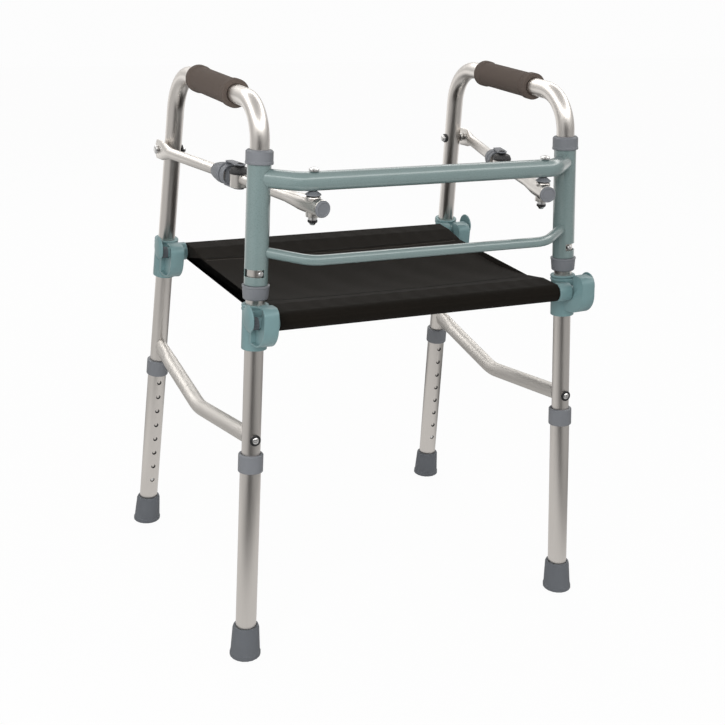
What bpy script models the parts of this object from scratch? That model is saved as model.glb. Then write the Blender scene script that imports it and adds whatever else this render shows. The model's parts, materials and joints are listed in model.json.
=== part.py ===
import math

import bmesh
import bpy
from mathutils import Matrix, Vector

# Stance of the legs: foot centres on the floor and lean per metre of height
FRONT_Y = -0.2230
FOOT_X_FRONT = 0.2583
LEAN_X_FRONT = 0.0374
LEAN_Y_FRONT = 0.065
FOOT_SPACING_Y = 0.4504
FOOT_X_REAR = 0.2658
LEAN_X_REAR = 0.0402
LEAN_Y_REAR = 0.105

# Tubes of the side frames
UPPER_R = 0.0127
WALL = 0.0013
LOWER_R = 0.0143
LOWER_WALL = 0.0012
TUBE_SIDES = 16
UPPER_END_Z = 0.065
TOP_Z = 0.758
FRONT_BEND = 0.055
REAR_BEND = 0.067
GAP = 0.0004

# Height adjustment
HOLE_R = 0.0036
HOLE_PITCH = 0.0254
HOLE_COUNT = 8
BUTTON_Z = 0.081
BUTTON_R = 0.0031
LOWER_BOTTOM_Z = 0.0135
LOWER_TOP_Z = 0.285
COLLAR_Z = 0.2695
COLLAR_H = 0.0252
COLLAR_R = 0.017
FOOT_H = 0.045
FOOT_R = 0.0215
FOOT_TOP_R = 0.0185

# Front frame
SLEEVE_R = 0.0157
SLEEVE_BORE = 0.0144
CLIP_TOP = 0.500
BUSH_BOTTOM = CLIP_TOP + 0.0065
SLEEVE_Z = BUSH_BOTTOM + 0.0193
SLEEVE_TOP = 0.6819
BUSH_R = 0.018
BUSH_TOP = 0.7008
UPPER_BAR_Z = 0.665
UPPER_BAR_R = 0.0125
UPPER_BAR_Y = 0.0052
UPPER_BAR_HALF = 0.190
LOWER_BAR_Z = 0.5635
LOWER_BAR_RISE = 0.0065
LOWER_BAR_R = 0.007
LOWER_BAR_Y = -0.008
LOWER_BAR_HALF = 0.178
SLOT_Z = SLEEVE_Z + 0.0112
SLOT_H = 0.010
SLOT_INWARD = math.radians(20)
SLOT_OUTWARD = math.radians(105)

# Folding side braces at the top
PIVOT_X = 0.1737
LINK_R = 0.008
LINK_END_R = 0.0116
BOSS_R = 0.0092
BOSS_DOWN = 0.0142
LINK_Z = 0.633
LINK_FRONT_Y = -0.0135
KNUCKLE_X = 0.2105
KNUCKLE_Y = 0.1760
KNUCKLE_Z = 0.6360
KNUCKLE_R = 0.0132
KNUCKLE_TOP = 0.6515
KNUCKLE_CLEAR = 0.0275
KNUCKLE_CAP = 0.0370
LINK_REAR_Y = 0.3835
LINK_REAR_Z = 0.6385
LINK_REAR_OUT = 0.0185

# Lower side braces
BRACE_R = 0.0112
BRACE_Z_FRONT = 0.3165
BRACE_Z_BEND = 0.2985
BRACE_Z_REAR = 0.3195
BRACE_BEND_U = 0.205

# Seat
SEAT_Z = CLIP_TOP - 0.017
SEAT_TUBE_R = 0.011
SEAT_AHEAD = 0.029
FABRIC_EDGE = 0.0225
FABRIC_BAND_R = 0.0126
FABRIC_T = 0.0024
FABRIC_SAG = 0.018
HOOK_OUT = 0.0126
HOOK_INWARD = 0.0074
HOOK_WALL = 0.0022
HOOK_RECESS = 0.0060
HOOK_REACH = 0.0640
CLIP_R = 0.017
CLIP_Z = CLIP_TOP - 0.0605
NECK_R = 0.008
CAP_R = 0.0135
CAP_STEP_R = 0.0092
DISC_R = 0.0180
DISC_IN = 0.0194
DISC_UP = 0.0085
DISC_AHEAD = 0.003

# Hand grips
GRIP_R = 0.018
GRIP_END_R = 0.0195
GRIP_START = 0.0865
GRIP_LENGTH = 0.148

COLOURS = {
    "aluminium": ((0.72, 0.71, 0.69), 0.32, 1.0),
    "frame": ((0.30, 0.42, 0.42), 0.3, 0.0),
    "clip": ((0.16, 0.33, 0.37), 0.45, 0.0),
    "plastic": ((0.14, 0.15, 0.17), 0.5, 0.0),
    "rubber": ((0.09, 0.10, 0.115), 0.75, 0.0),
    "grip": ((0.07, 0.055, 0.048), 0.8, 0.0),
    "fabric": ((0.012, 0.010, 0.009), 0.9, 0.0),
    "steel": ((0.6, 0.6, 0.6), 0.25, 1.0),
    "black": ((0.015, 0.015, 0.016), 0.5, 0.0),
}


def clear_scene():
    for item in list(bpy.data.objects):
        bpy.data.objects.remove(item, do_unlink=True)


def material(name):
    found = bpy.data.materials.get(name)
    if found:
        return found
    made = bpy.data.materials.new(name)
    made.use_nodes = True
    colour, rough, metal = COLOURS[name]
    shader = made.node_tree.nodes["Principled BSDF"]
    shader.inputs["Base Color"].default_value = (*colour, 1)
    shader.inputs["Roughness"].default_value = rough
    shader.inputs["Metallic"].default_value = metal
    return made


def mesh_object(name, verts, faces, look, parent=None):
    mesh = bpy.data.meshes.new(name)
    mesh.from_pydata([tuple(v) for v in verts], [], faces)
    work = bmesh.new()
    work.from_mesh(mesh)
    bmesh.ops.recalc_face_normals(work, faces=work.faces)
    work.to_mesh(mesh)
    work.free()
    made = bpy.data.objects.new(name, mesh)
    bpy.context.scene.collection.objects.link(made)
    mesh.materials.append(material(look))
    mesh.shade_smooth()
    mesh.set_sharp_from_angle(angle=math.radians(35))
    if parent:
        made.parent = parent
    return made


def circle(centre, side, up, half_a, half_b, count):
    ring = []
    for k in range(count):
        a = 2 * math.pi * k / count
        ring.append(centre + side * (half_a * math.cos(a)) + up * (half_b * math.sin(a)))
    return ring


def ring_faces(a, b, count):
    return [(a + k, a + (k + 1) % count, b + (k + 1) % count, b + k) for k in range(count)]


def directions(points):
    out = []
    for k in range(len(points)):
        before = points[max(k - 1, 0)]
        after = points[min(k + 1, len(points) - 1)]
        out.append((after - before).normalized())
    return out


def sweep(points, sizes, up, count, bore=None):
    """Rings along a flat path, closed at both ends, hollow where a bore is given"""
    verts, faces = [], []
    skins = [sizes] if bore is None else [sizes, [(bore, bore)] * len(points)]
    along = directions(points)
    for skin in skins:
        for p, d, size in zip(points, along, skin):
            side = up.cross(d).normalized()
            rise = d.cross(side).normalized()
            verts += circle(p, side, rise, size[0], size[1], count)
    rows = len(points)
    for k in range(len(skins)):
        base = k * rows * count
        for r in range(rows - 1):
            faces += ring_faces(base + r * count, base + (r + 1) * count, count)
    last = (rows - 1) * count
    if bore is None:
        faces += [tuple(range(count)), tuple(range(last, last + count))]
    else:
        inner = rows * count
        faces += ring_faces(0, inner, count)
        faces += ring_faces(last, inner + last, count)
    return verts, faces


def fillet(points, radii, steps):
    """Straight path with each inner corner replaced by an arc of the given radius"""
    out = [points[0]]
    for k in range(1, len(points) - 1):
        a = (points[k - 1] - points[k]).normalized()
        b = (points[k + 1] - points[k]).normalized()
        half = a.angle(b) / 2
        run = radii[k - 1] / math.tan(half)
        centre = points[k] + (a + b).normalized() * (radii[k - 1] / math.sin(half))
        start = points[k] + a * run - centre
        end = points[k] + b * run - centre
        turn = start.angle(end)
        for m in range(steps + 1):
            f = m / steps
            blend = start * math.sin((1 - f) * turn) + end * math.sin(f * turn)
            out.append(centre + blend / math.sin(turn))
    return out + [points[-1]]


def revolve(profile, count, matrix, closed):
    """Profile of (radius, height) turned about local Z"""
    verts, faces = [], []
    for r, z in profile:
        for k in range(count):
            a = 2 * math.pi * k / count
            verts.append(matrix @ Vector((r * math.cos(a), r * math.sin(a), z)))
    rows = len(profile)
    for r in range(rows - 1 + closed):
        faces += ring_faces(r * count, (r + 1) % rows * count, count)
    if not closed:
        last = (rows - 1) * count
        faces += [tuple(range(count)), tuple(range(last, last + count))]
    return verts, faces


def prism(outline, low, high, place):
    """Outline of (a, b) pairs drawn out between two depths by the place function"""
    count = len(outline)
    verts = [place(d, a, b) for d in (low, high) for a, b in outline]
    faces = [tuple(range(count)), tuple(range(count, 2 * count))]
    return verts, faces + ring_faces(0, count, count)


def aim(origin, direction, roll=Vector((0, 0, 1))):
    """Matrix at the origin with its Z along the direction"""
    z = direction.normalized()
    x = roll.cross(z)
    if x.length < 1e-3:
        x = Vector((1, 0, 0))
    x.normalize()
    made = Matrix((x, z.cross(x), z)).transposed().to_4x4()
    made.translation = origin
    return made


def cutter(name, verts, faces):
    made = mesh_object(name, verts, faces, "black")
    made.hide_render = True
    made.display_type = "WIRE"
    return made


def rod_cutter(name, matrix, radius, low, high, count=12):
    return cutter(name, *revolve([(radius, low), (radius, high)], count, matrix, False))


def combine(target, tool, operation):
    """Boolean result kept as plain mesh, in the target's own space"""
    tool.matrix_world = target.matrix_basis
    parent = target.parent
    target.parent = None
    bpy.context.view_layer.update()
    modifier = target.modifiers.new("cut", "BOOLEAN")
    modifier.operation = operation
    modifier.solver = "EXACT"
    modifier.object = tool
    bpy.context.view_layer.update()
    shaped = bpy.data.meshes.new_from_object(
        target.evaluated_get(bpy.context.evaluated_depsgraph_get())
    )
    target.modifiers.clear()
    old = target.data
    target.data = shaped
    bpy.data.meshes.remove(old)
    shaped.name = target.name
    shaped.shade_smooth()
    shaped.set_sharp_from_angle(angle=math.radians(35))
    while len(shaped.materials) > 1:
        shaped.materials.pop()
    bpy.data.objects.remove(tool, do_unlink=True)
    target.parent = parent


def join_cutters(name, pieces):
    verts, faces = [], []
    for v, f in pieces:
        base = len(verts)
        verts += v
        faces += [tuple(base + k for k in face) for face in f]
    return cutter(name, verts, faces)


def empty(name, matrix):
    made = bpy.data.objects.new(name, None)
    bpy.context.scene.collection.objects.link(made)
    made.matrix_world = matrix
    bpy.context.view_layer.update()
    return made


def front_axis(s, z):
    return Vector((s * (FOOT_X_FRONT - LEAN_X_FRONT * z), FRONT_Y + LEAN_Y_FRONT * z, z))


def rear_axis(s, z):
    y = FRONT_Y + FOOT_SPACING_Y - LEAN_Y_REAR * z
    return Vector((s * (FOOT_X_REAR - LEAN_X_REAR * z), y, z))


def seat_point(axis, s):
    """Centre of the seat tube beside a leg"""
    at = axis(s, SEAT_Z)
    return Vector((at.x, at.y - SEAT_AHEAD, SEAT_Z))


def side_frame(s):
    """Origin at the front foot, Z up the front leg, Y rearwards in the side's plane"""
    up = (front_axis(s, 1) - front_axis(s, 0)).normalized()
    back = rear_axis(s, 0) - front_axis(s, 0)
    back = (back - up * back.dot(up)).normalized()
    made = Matrix((back.cross(up), back, up)).transposed().to_4x4()
    made.translation = front_axis(s, 0)
    return made


def flat(v):
    return Vector((0, v.y, v.z))


def leg_matrix(side, s, rear):
    """The leg's own frame inside its side frame: Z up the leg, Y rearwards"""
    if not rear:
        return Matrix.Identity(4)
    low = flat(side.inverted() @ rear_axis(s, 0))
    high = flat(side.inverted() @ rear_axis(s, 1))
    up = (high - low).normalized()
    across = Vector((1, 0, 0))
    made = Matrix((across, up.cross(across), up)).transposed().to_4x4()
    made.translation = low
    return made


def along(rear):
    """Length along a leg per metre of height"""
    if rear:
        return math.sqrt(1 + LEAN_X_REAR**2 + LEAN_Y_REAR**2)
    return math.sqrt(1 + LEAN_X_FRONT**2 + LEAN_Y_FRONT**2)


def height(rear, z):
    return z * along(rear)


def sector(r0, r1, z0, z1, a0, a1, steps):
    """Part ring between two angles, as verts and faces"""
    verts, faces = [], []
    for k in range(steps + 1):
        a = a0 + (a1 - a0) * k / steps
        for r, z in ((r0, z0), (r1, z0), (r1, z1), (r0, z1)):
            verts.append(Vector((r * math.cos(a), r * math.sin(a), z)))
    for k in range(steps):
        faces += ring_faces(4 * k, 4 * k + 4, 4)
    return verts, faces + [(0, 1, 2, 3), tuple(range(4 * steps, 4 * steps + 4))]


def hook_outline(z, ahead, seat):
    """Hook seen from the side, as (forward, height), with a slot open at the top"""
    low = height(False, 0.4508)
    half = NECK_R + 0.0015
    out = [(0.0, low), (0.020, low)]
    for k in range(1, 7):
        a = math.radians(-90 + 15 * k)
        x = HOOK_REACH - 0.032 + 0.032 * math.cos(a)
        out.append((x, low + 0.030 + 0.030 * math.sin(a)))
    for k in range(0, 6):
        a = math.radians(18 * k)
        x = HOOK_REACH - 0.012 + 0.012 * math.cos(a)
        out.append((x, z - 0.0005 + 0.012 * math.sin(a)))
    out.append((ahead + half + 0.0012, z + 0.0115))
    out.append((ahead + half, z + 0.0100))
    for k in range(0, 9):
        a = math.radians(-180 * k / 8)
        out.append((ahead + half * math.cos(a), seat + half * math.sin(a)))
    out.append((ahead - half, z - 0.0015))
    out.append((0.0, z - 0.0015))
    return out


def recess_outline(z, ahead):
    """Hollow in the hook's outer face, a wall's thickness inside its rim"""
    low = height(False, 0.4508) + HOOK_WALL
    crown = z + 0.0115 - HOOK_WALL
    shoulder = z - 0.0015 - HOOK_WALL
    out = [(0.0195, low), (0.0200, low)]
    for k in range(1, 7):
        a = math.radians(-90 + 15 * k)
        x = HOOK_REACH - 0.032 + (0.032 - HOOK_WALL) * math.cos(a)
        out.append((x, low + 0.030 - HOOK_WALL + (0.030 - HOOK_WALL) * math.sin(a)))
    for k in range(0, 5):
        a = math.radians(22.5 * k)
        x = HOOK_REACH - 0.012 + (0.012 - HOOK_WALL) * math.cos(a)
        out.append((x, z - 0.0005 + (0.012 - HOOK_WALL) * math.sin(a)))
    return out + [(ahead, crown), (ahead, shoulder), (0.0195, shoulder)]


def clip(name, s, parent, frame, seat_at, bore):
    """Leg clip: sleeve, top ring and an outward hook that carries the seat tube"""
    low = height(False, CLIP_Z)
    top = height(False, CLIP_TOP)
    ring_low = top - 0.0085
    profile = [(0.004, low), (CLIP_R - 0.0006, low), (CLIP_R, low + 0.0006)]
    profile += [(CLIP_R, ring_low), (CLIP_R + 0.0011, ring_low + 0.0008)]
    profile += [(CLIP_R + 0.0011, top - 0.001), (CLIP_R + 0.0002, top), (0.004, top)]
    body = mesh_object(name, *revolve(profile, 16, frame, False), "clip", parent)
    outline = hook_outline(ring_low + 0.0035, -seat_at.y, seat_at.z)

    def place(out, fore, up):
        return frame @ Vector((s * out, -fore, up))

    tool = cutter(name + "_hook", *prism(outline, -HOOK_INWARD, HOOK_OUT, place))
    combine(body, tool, "UNION")
    outline = recess_outline(ring_low + 0.0035, -seat_at.y)
    floor = HOOK_OUT - HOOK_RECESS
    tool = cutter(name + "_recess", *prism(outline, floor, HOOK_OUT + 0.002, place))
    combine(body, tool, "DIFFERENCE")
    tool = rod_cutter(name + "_bore", frame, bore, low - 0.01, top + 0.02, 16)
    combine(body, tool, "DIFFERENCE")
    return body


def build_side(s, tag):
    side = side_frame(s)
    inverse = side.inverted()
    root = empty("side_" + tag, side)
    legs = {"front": leg_matrix(side, s, False), "rear": leg_matrix(side, s, True)}
    ranges = {"front": False, "rear": True}

    # Side frame: one bent tube with its holes
    corners = [flat(inverse @ front_axis(s, UPPER_END_Z)), flat(inverse @ front_axis(s, TOP_Z))]
    corners += [flat(inverse @ rear_axis(s, TOP_Z)), flat(inverse @ rear_axis(s, UPPER_END_Z))]
    path = fillet(corners, (FRONT_BEND, REAR_BEND), 6)
    sizes = [(UPPER_R, UPPER_R)] * len(path)
    bore = UPPER_R - WALL
    shell = sweep(path, sizes, Vector((1, 0, 0)), TUBE_SIDES, bore)
    tube = mesh_object("side_tube_" + tag, *shell, "aluminium", root)
    holes = []
    for which, frame in legs.items():
        away = 1 if which == "front" else -1
        spot = frame @ Vector((0, 0, height(ranges[which], BUTTON_Z)))
        matrix = aim(spot, frame.to_3x3() @ Vector((0, away, 0)), Vector((1, 0, 0)))
        holes.append(revolve([(HOLE_R, 0), (HOLE_R, 0.02)], 12, matrix, False))
    spot = Vector((0, 0, height(False, SLOT_Z + SLOT_H / 2)))
    forward = aim(spot, Vector((0, -1, 0)), Vector((1, 0, 0)))
    holes.append(revolve([(0.0023, 0), (0.0023, 0.02)], 12, forward, False))
    brace_front = Vector((0, 0, height(False, BRACE_Z_FRONT)))
    forward = aim(brace_front, Vector((0, -1, 0)), Vector((1, 0, 0)))
    holes.append(revolve([(0.0030, -0.02), (0.0030, 0.02)], 12, forward, False))
    brace_rear = legs["rear"] @ Vector((0, 0, height(True, BRACE_Z_REAR)))
    back = aim(brace_rear, legs["rear"].to_3x3() @ Vector((0, 1, 0)), Vector((1, 0, 0)))
    holes.append(revolve([(0.0030, -0.02), (0.0030, 0.02)], 12, back, False))
    combine(tube, join_cutters("holes_" + tag, holes), "DIFFERENCE")

    # Padded hand grip on the top run
    run = (corners[2] - corners[1]).normalized()
    grip = aim(corners[1] + run * GRIP_START, run, Vector((1, 0, 0)))
    inner = UPPER_R + GAP
    profile = [(inner, 0), (GRIP_END_R - 0.0012, 0), (GRIP_END_R, 0.0012), (GRIP_END_R, 0.0125)]
    profile += [(GRIP_R - 0.0014, 0.0137), (GRIP_R - 0.0014, 0.0160), (GRIP_R, 0.0176)]
    profile += [(GRIP_R, GRIP_LENGTH - 0.0145), (GRIP_END_R, GRIP_LENGTH - 0.0125)]
    profile += [(GRIP_END_R, GRIP_LENGTH - 0.0012), (GRIP_END_R - 0.0012, GRIP_LENGTH)]
    profile += [(inner, GRIP_LENGTH)]
    mesh_object("grip_" + tag, *revolve(profile, 16, grip, True), "grip", root)

    # Stop screw that runs in the sleeve's slot
    stop = aim(spot, Vector((0, -1, 0)), Vector((1, 0, 0)))
    profile = [(0.0019, 0.0095), (0.0019, UPPER_R + GAP), (0.0036, UPPER_R + GAP)]
    profile += [(0.0036, 0.0165), (0.0024, 0.0178)]
    mesh_object("stop_screw_" + tag, *revolve(profile, 12, stop, False), "steel", root)

    # Lower side brace with a screw through each leg
    ends = [flat(brace_front), Vector((0, BRACE_BEND_U, height(False, BRACE_Z_BEND)))]
    ends.append(flat(brace_rear))
    path = fillet(ends, (0.10,), 5)
    lead = (path[-1] - path[-2]).normalized()
    last = path[-1]
    path[-1:] = [last - lead * 0.062, last - lead * 0.040, last]
    sizes = [(BRACE_R, BRACE_R)] * (len(path) - 2) + [(0.0090, 0.0140), (0.0086, 0.0146)]
    brace = mesh_object(
        "lower_brace_" + tag, *sweep(path, sizes, Vector((0, 0, 1)), 12), "aluminium", root
    )
    cuts = []
    for which, frame in legs.items():
        low = height(ranges[which], BRACE_Z_FRONT - 0.06)
        profile = [(UPPER_R + GAP, low), (UPPER_R + GAP, low + 0.12)]
        cuts.append(revolve(profile, 18, frame, False))
    combine(brace, join_cutters("saddles_" + tag, cuts), "DIFFERENCE")
    cuts = []
    for origin, frame, sign in ((brace_front, legs["front"], -1), (brace_rear, legs["rear"], 1)):
        matrix = aim(origin, frame.to_3x3() @ Vector((0, sign, 0)), Vector((1, 0, 0)))
        cuts.append(revolve([(0.0028, -0.036), (0.0028, 0.0)], 12, matrix, False))
        profile = [(0.0023, -0.0300), (0.0023, UPPER_R + GAP), (0.0072, UPPER_R + GAP)]
        profile += [(0.0072, 0.0148), (0.0060, 0.0152), (0.0056, 0.0176), (0.0030, 0.0190)]
        where = "front" if sign < 0 else "rear"
        name = "brace_screw_" + where + "_" + tag
        mesh_object(name, *revolve(profile, 12, matrix, False), "steel", root)
    combine(brace, join_cutters("screw_holes_" + tag, cuts), "DIFFERENCE")

    # Rear link: flattened outer end on the leg, straight rod, tapered end at the knuckle
    hub = legs["rear"] @ Vector((0, 0, height(True, LINK_REAR_Z)))
    outer = hub + Vector((s * (LINK_REAR_OUT + 0.0025), 0, 0))
    knee = inverse @ Vector((s * KNUCKLE_X, FRONT_Y + KNUCKLE_Y, KNUCKLE_Z))
    bolt = aim(hub, Vector((s, 0, 0)), Vector((0, 0, 1)))
    rearward = Vector((0, 1, 0))
    bend = outer - rearward * 0.016
    lead = (knee - bend).normalized()
    points = [outer + rearward * 0.0125, outer + rearward * 0.010, bend, bend + lead * 0.024]
    sizes = [(0.0022, 0.011), (0.0026, 0.0142), (0.0026, 0.0142), (LINK_R, LINK_R)]
    taper = ((0.0230, LINK_R), (0.0225, 0.0105), (0.0060, 0.0138), (0.0055, 0.0148))
    for back_by, radius in taper + ((0.0, 0.0148), (-0.0005, 0.0090)):
        points.append(knee - lead * (KNUCKLE_CAP + back_by))
        sizes.append((radius, radius))
    for back_by, radius in ((0.0055, 0.0090), (0.0050, 0.0140), (0.0, 0.0140)):
        points.append(knee - lead * (KNUCKLE_CLEAR + back_by))
        sizes.append((radius, radius))
    link = mesh_object(
        "rear_link_" + tag, *sweep(points, sizes, Vector((0, 0, 1)), 14), "aluminium", root
    )
    combine(link, rod_cutter("eye_" + tag, bolt, 0.0035, 0.0, 0.04), "DIFFERENCE")
    profile = [(0.0066, UPPER_R + 0.0007), (0.0066, 0.0177), (0.0030, 0.0177)]
    profile += [(0.0030, 0.0245), (0.0064, 0.0245), (0.0062, 0.0275), (0.0035, 0.0288)]
    mesh_object("rear_bolt_" + tag, *revolve(profile, 12, bolt, False), "steel", root)

    # Legs: lower tube, collar, foot, snap button and seat clip
    for which, frame in legs.items():
        rear = ranges[which]
        away = -1 if rear else 1
        label = which + "_" + tag
        low = height(rear, LOWER_BOTTOM_Z)
        high = height(rear, LOWER_TOP_Z)
        profile = [(LOWER_R, low), (LOWER_R, high), (LOWER_R - LOWER_WALL, high)]
        profile += [(LOWER_R - LOWER_WALL, low)]
        shell = revolve(profile, TUBE_SIDES, frame, True)
        leg = mesh_object("lower_leg_" + label, *shell, "aluminium", root)
        cuts = []
        for k in range(HOLE_COUNT):
            spot = frame @ Vector((0, 0, height(rear, BUTTON_Z) + k * HOLE_PITCH))
            matrix = aim(spot, frame.to_3x3() @ Vector((0, away, 0)), Vector((1, 0, 0)))
            cuts.append(revolve([(HOLE_R, 0.004), (HOLE_R, 0.02)], 8, matrix, False))
        combine(leg, join_cutters("pitch_" + label, cuts), "DIFFERENCE")

        base = height(rear, COLLAR_Z)
        step = high + GAP
        top = base + COLLAR_H
        profile = [(LOWER_R + GAP, base), (COLLAR_R - 0.0006, base), (COLLAR_R, base + 0.0006)]
        profile += [(COLLAR_R, top - 0.0014), (COLLAR_R - 0.0012, top), (0.0131, top)]
        profile += [(0.0131, step), (LOWER_R + GAP, step)]
        mesh_object("collar_" + label, *revolve(profile, 18, frame, True), "plastic", root)

        verts, faces = [], []
        lean = rear_axis if rear else front_axis
        rows = [(FOOT_R - 0.0012, 0.0), (FOOT_R, 0.0012), (FOOT_R, 0.0062)]
        rows += [(FOOT_R - 0.0010, 0.0076), (FOOT_TOP_R, FOOT_H - 0.003)]
        rows += [(FOOT_TOP_R - 0.0012, FOOT_H), (LOWER_R + 0.0006, FOOT_H)]
        rows += [(LOWER_R + 0.0006, 0.0100)]
        count = 18
        for radius, z in rows:
            verts += circle(
                inverse @ lean(s, z),
                inverse.to_3x3() @ Vector((1, 0, 0)),
                inverse.to_3x3() @ Vector((0, 1, 0)),
                radius,
                radius,
                count,
            )
        for r in range(len(rows) - 1):
            faces += ring_faces(r * count, (r + 1) * count, count)
        last = (len(rows) - 1) * count
        faces += [tuple(range(count)), tuple(range(last, last + count))]
        mesh_object("foot_" + label, verts, faces, "rubber", root)

        spot = frame @ Vector((0, 0, height(rear, BUTTON_Z)))
        matrix = aim(spot, frame.to_3x3() @ Vector((0, away, 0)), Vector((1, 0, 0)))
        profile = [(0.0048, 0.0082), (0.0048, 0.0098), (BUTTON_R, 0.0098)]
        profile += [(BUTTON_R, 0.0118), (BUTTON_R - 0.0006, 0.0126)]
        shell = revolve(profile, 12, matrix, False)
        mesh_object("button_" + label, *shell, "steel", root)

        if rear:
            seat_at = (side @ frame).inverted() @ seat_point(rear_axis, s)
            clip("clip_" + label, s, root, frame, seat_at, UPPER_R + 0.0003)


def build_front():
    """Cross bars, sleeves, bushings, front clips and brace pivots, fixed to each other"""
    fronts = {1: side_frame(1), -1: side_frame(-1)}

    def bar(name, radius, bore, y, z, rise, half, bend, count):
        ends = [front_axis(-1, z + rise), Vector((-half, FRONT_Y + y, z))]
        ends += [Vector((half, FRONT_Y + y, z)), front_axis(1, z + rise)]
        path = fillet(ends, (bend, bend), 4)
        shell = sweep(path, [(radius, radius)] * len(path), Vector((0, 0, 1)), count, bore)
        made = mesh_object(name, *shell, "frame")
        cuts = []
        for frame in fronts.values():
            profile = [(SLEEVE_R + GAP, z - 0.05), (SLEEVE_R + GAP, z + 0.05)]
            cuts.append(revolve(profile, 18, frame, False))
        combine(made, join_cutters(name + "_ends", cuts), "DIFFERENCE")
        return made

    upper = bar(
        "upper_cross_bar", UPPER_BAR_R, UPPER_BAR_R - WALL, UPPER_BAR_Y, UPPER_BAR_Z, 0.0,
        UPPER_BAR_HALF, 0.03, 14
    )
    bar(
        "lower_cross_bar", LOWER_BAR_R, LOWER_BAR_R - WALL, LOWER_BAR_Y, LOWER_BAR_Z,
        LOWER_BAR_RISE, LOWER_BAR_HALF, 0.03, 10
    )
    cuts = []
    for s in (1, -1):
        post = Matrix.Translation((s * PIVOT_X, FRONT_Y + UPPER_BAR_Y, 0))
        profile = [(0.0033, UPPER_BAR_Z - 0.03), (0.0033, UPPER_BAR_Z + 0.03)]
        cuts.append(revolve(profile, 12, post, False))
    combine(upper, join_cutters("pivot_holes", cuts), "DIFFERENCE")

    for s, tag in ((1, "right"), (-1, "left")):
        frame = fronts[s]
        low = height(False, SLEEVE_Z)
        top = height(False, SLEEVE_TOP)
        profile = [(SLEEVE_BORE, low), (SLEEVE_R, low), (SLEEVE_R, top), (SLEEVE_BORE, top)]
        sleeve = mesh_object("sleeve_" + tag, *revolve(profile, 18, frame, True), "frame")
        a0 = -math.pi / 2 - s * SLOT_INWARD
        a1 = -math.pi / 2 + s * SLOT_OUTWARD
        base = height(False, SLOT_Z)
        verts, faces = sector(0.010, 0.02, base, base + SLOT_H, a0, a1, 12)
        verts = [frame @ v for v in verts]
        combine(sleeve, cutter("slot_" + tag, verts, faces), "DIFFERENCE")

        bore = UPPER_R + GAP
        stem = SLEEVE_BORE - GAP
        end = height(False, BUSH_TOP)
        profile = [(bore, top - 0.016), (stem, top - 0.016), (stem, top + GAP)]
        profile += [(BUSH_R + 0.0004, top + GAP), (BUSH_R + 0.0004, top + 0.0035)]
        profile += [(BUSH_R, top + 0.0040), (BUSH_R, end - 0.0022)]
        profile += [(BUSH_R - 0.0022, end), (bore, end)]
        mesh_object("bushing_top_" + tag, *revolve(profile, 16, frame, True), "plastic")
        end = height(False, BUSH_BOTTOM)
        profile = [(bore, low + 0.0085), (stem, low + 0.0085), (stem, low - GAP)]
        profile += [(BUSH_R + 0.0003, low - GAP), (BUSH_R + 0.0003, low - 0.0030)]
        profile += [(BUSH_R - 0.0003, low - 0.0036), (BUSH_R - 0.0014, end + 0.0012)]
        profile += [(BUSH_R - 0.0026, end), (bore, end)]
        mesh_object("bushing_bottom_" + tag, *revolve(profile, 16, frame, True), "plastic")

        seat_at = frame.inverted() @ seat_point(front_axis, s)
        clip("clip_front_" + tag, s, None, frame, seat_at, UPPER_R + GAP)

        # Pivot of the folding brace: bolt from above, cone below the bar
        post = Matrix.Translation((s * PIVOT_X, FRONT_Y + UPPER_BAR_Y, 0))
        under = UPPER_BAR_Z - UPPER_BAR_R
        under_boss = LINK_Z - BOSS_DOWN - 0.0004
        profile = [(0.0030, under_boss - 0.0105), (0.0046, under_boss - 0.0080)]
        profile += [(0.0060, under_boss - 0.0070), (0.0060, under_boss), (0.0028, under_boss)]
        crown = UPPER_BAR_Z + UPPER_BAR_R
        profile += [(0.0028, crown + 0.0008), (0.0068, crown + 0.0008)]
        profile += [(0.0066, crown + 0.0034), (0.0030, crown + 0.0052)]
        mesh_object("pivot_bolt_" + tag, *revolve(profile, 12, post, False), "steel")
        base = LINK_Z + LINK_END_R + 0.0008
        profile = [(0.0033, base), (0.0096, base), (0.0098, base + 0.0015)]
        profile += [(0.0104, base + 0.0020), (0.0042, under - GAP - 0.0006)]
        profile += [(0.0033, under - GAP - 0.0006)]
        mesh_object("pivot_spacer_" + tag, *revolve(profile, 14, post, True), "plastic")

        # Front link: rod with a plugged front end, eye at the pivot and domed knuckle end
        pivot = Vector((s * PIVOT_X, FRONT_Y + UPPER_BAR_Y, LINK_Z))
        knee = Vector((s * KNUCKLE_X, FRONT_Y + KNUCKLE_Y, KNUCKLE_Z))
        lead = (knee - pivot).normalized()
        nose = pivot - lead * 0.0205
        points, sizes = [], []
        thick = LINK_END_R
        for back_by, radius in (
            (0.0, thick - 0.0010), (0.0010, thick), (0.0440, thick - 0.0004), (0.0620, 0.0094),
            (0.0800, LINK_R),
        ):
            points.append(nose + lead * back_by)
            sizes.append((radius, radius))
        points.append(knee)
        sizes.append((LINK_R, LINK_R))
        shell = sweep(points, sizes, Vector((0, 0, 1)), 14)
        link = mesh_object("front_link_" + tag, *shell, "aluminium")
        base = LINK_Z - LINK_R
        tool = rod_cutter("eye_front_" + tag, post, 0.0033, base - 0.01, base + 0.03)
        combine(link, tool, "DIFFERENCE")
        profile = [(0.0033, LINK_Z - BOSS_DOWN), (BOSS_R, LINK_Z - BOSS_DOWN)]
        profile += [(BOSS_R, LINK_Z), (0.0033, LINK_Z)]
        boss = cutter("boss_" + tag, *revolve(profile, 10, post, True))
        combine(link, boss, "UNION")
        hub = Matrix.Translation((knee.x, knee.y, 0))
        low = KNUCKLE_Z - 0.0125
        profile = [(KNUCKLE_R - 0.0010, low), (KNUCKLE_R, low + 0.0010)]
        profile += [(KNUCKLE_R, KNUCKLE_TOP - 0.0070), (KNUCKLE_R * 0.86, KNUCKLE_TOP - 0.0028)]
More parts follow.
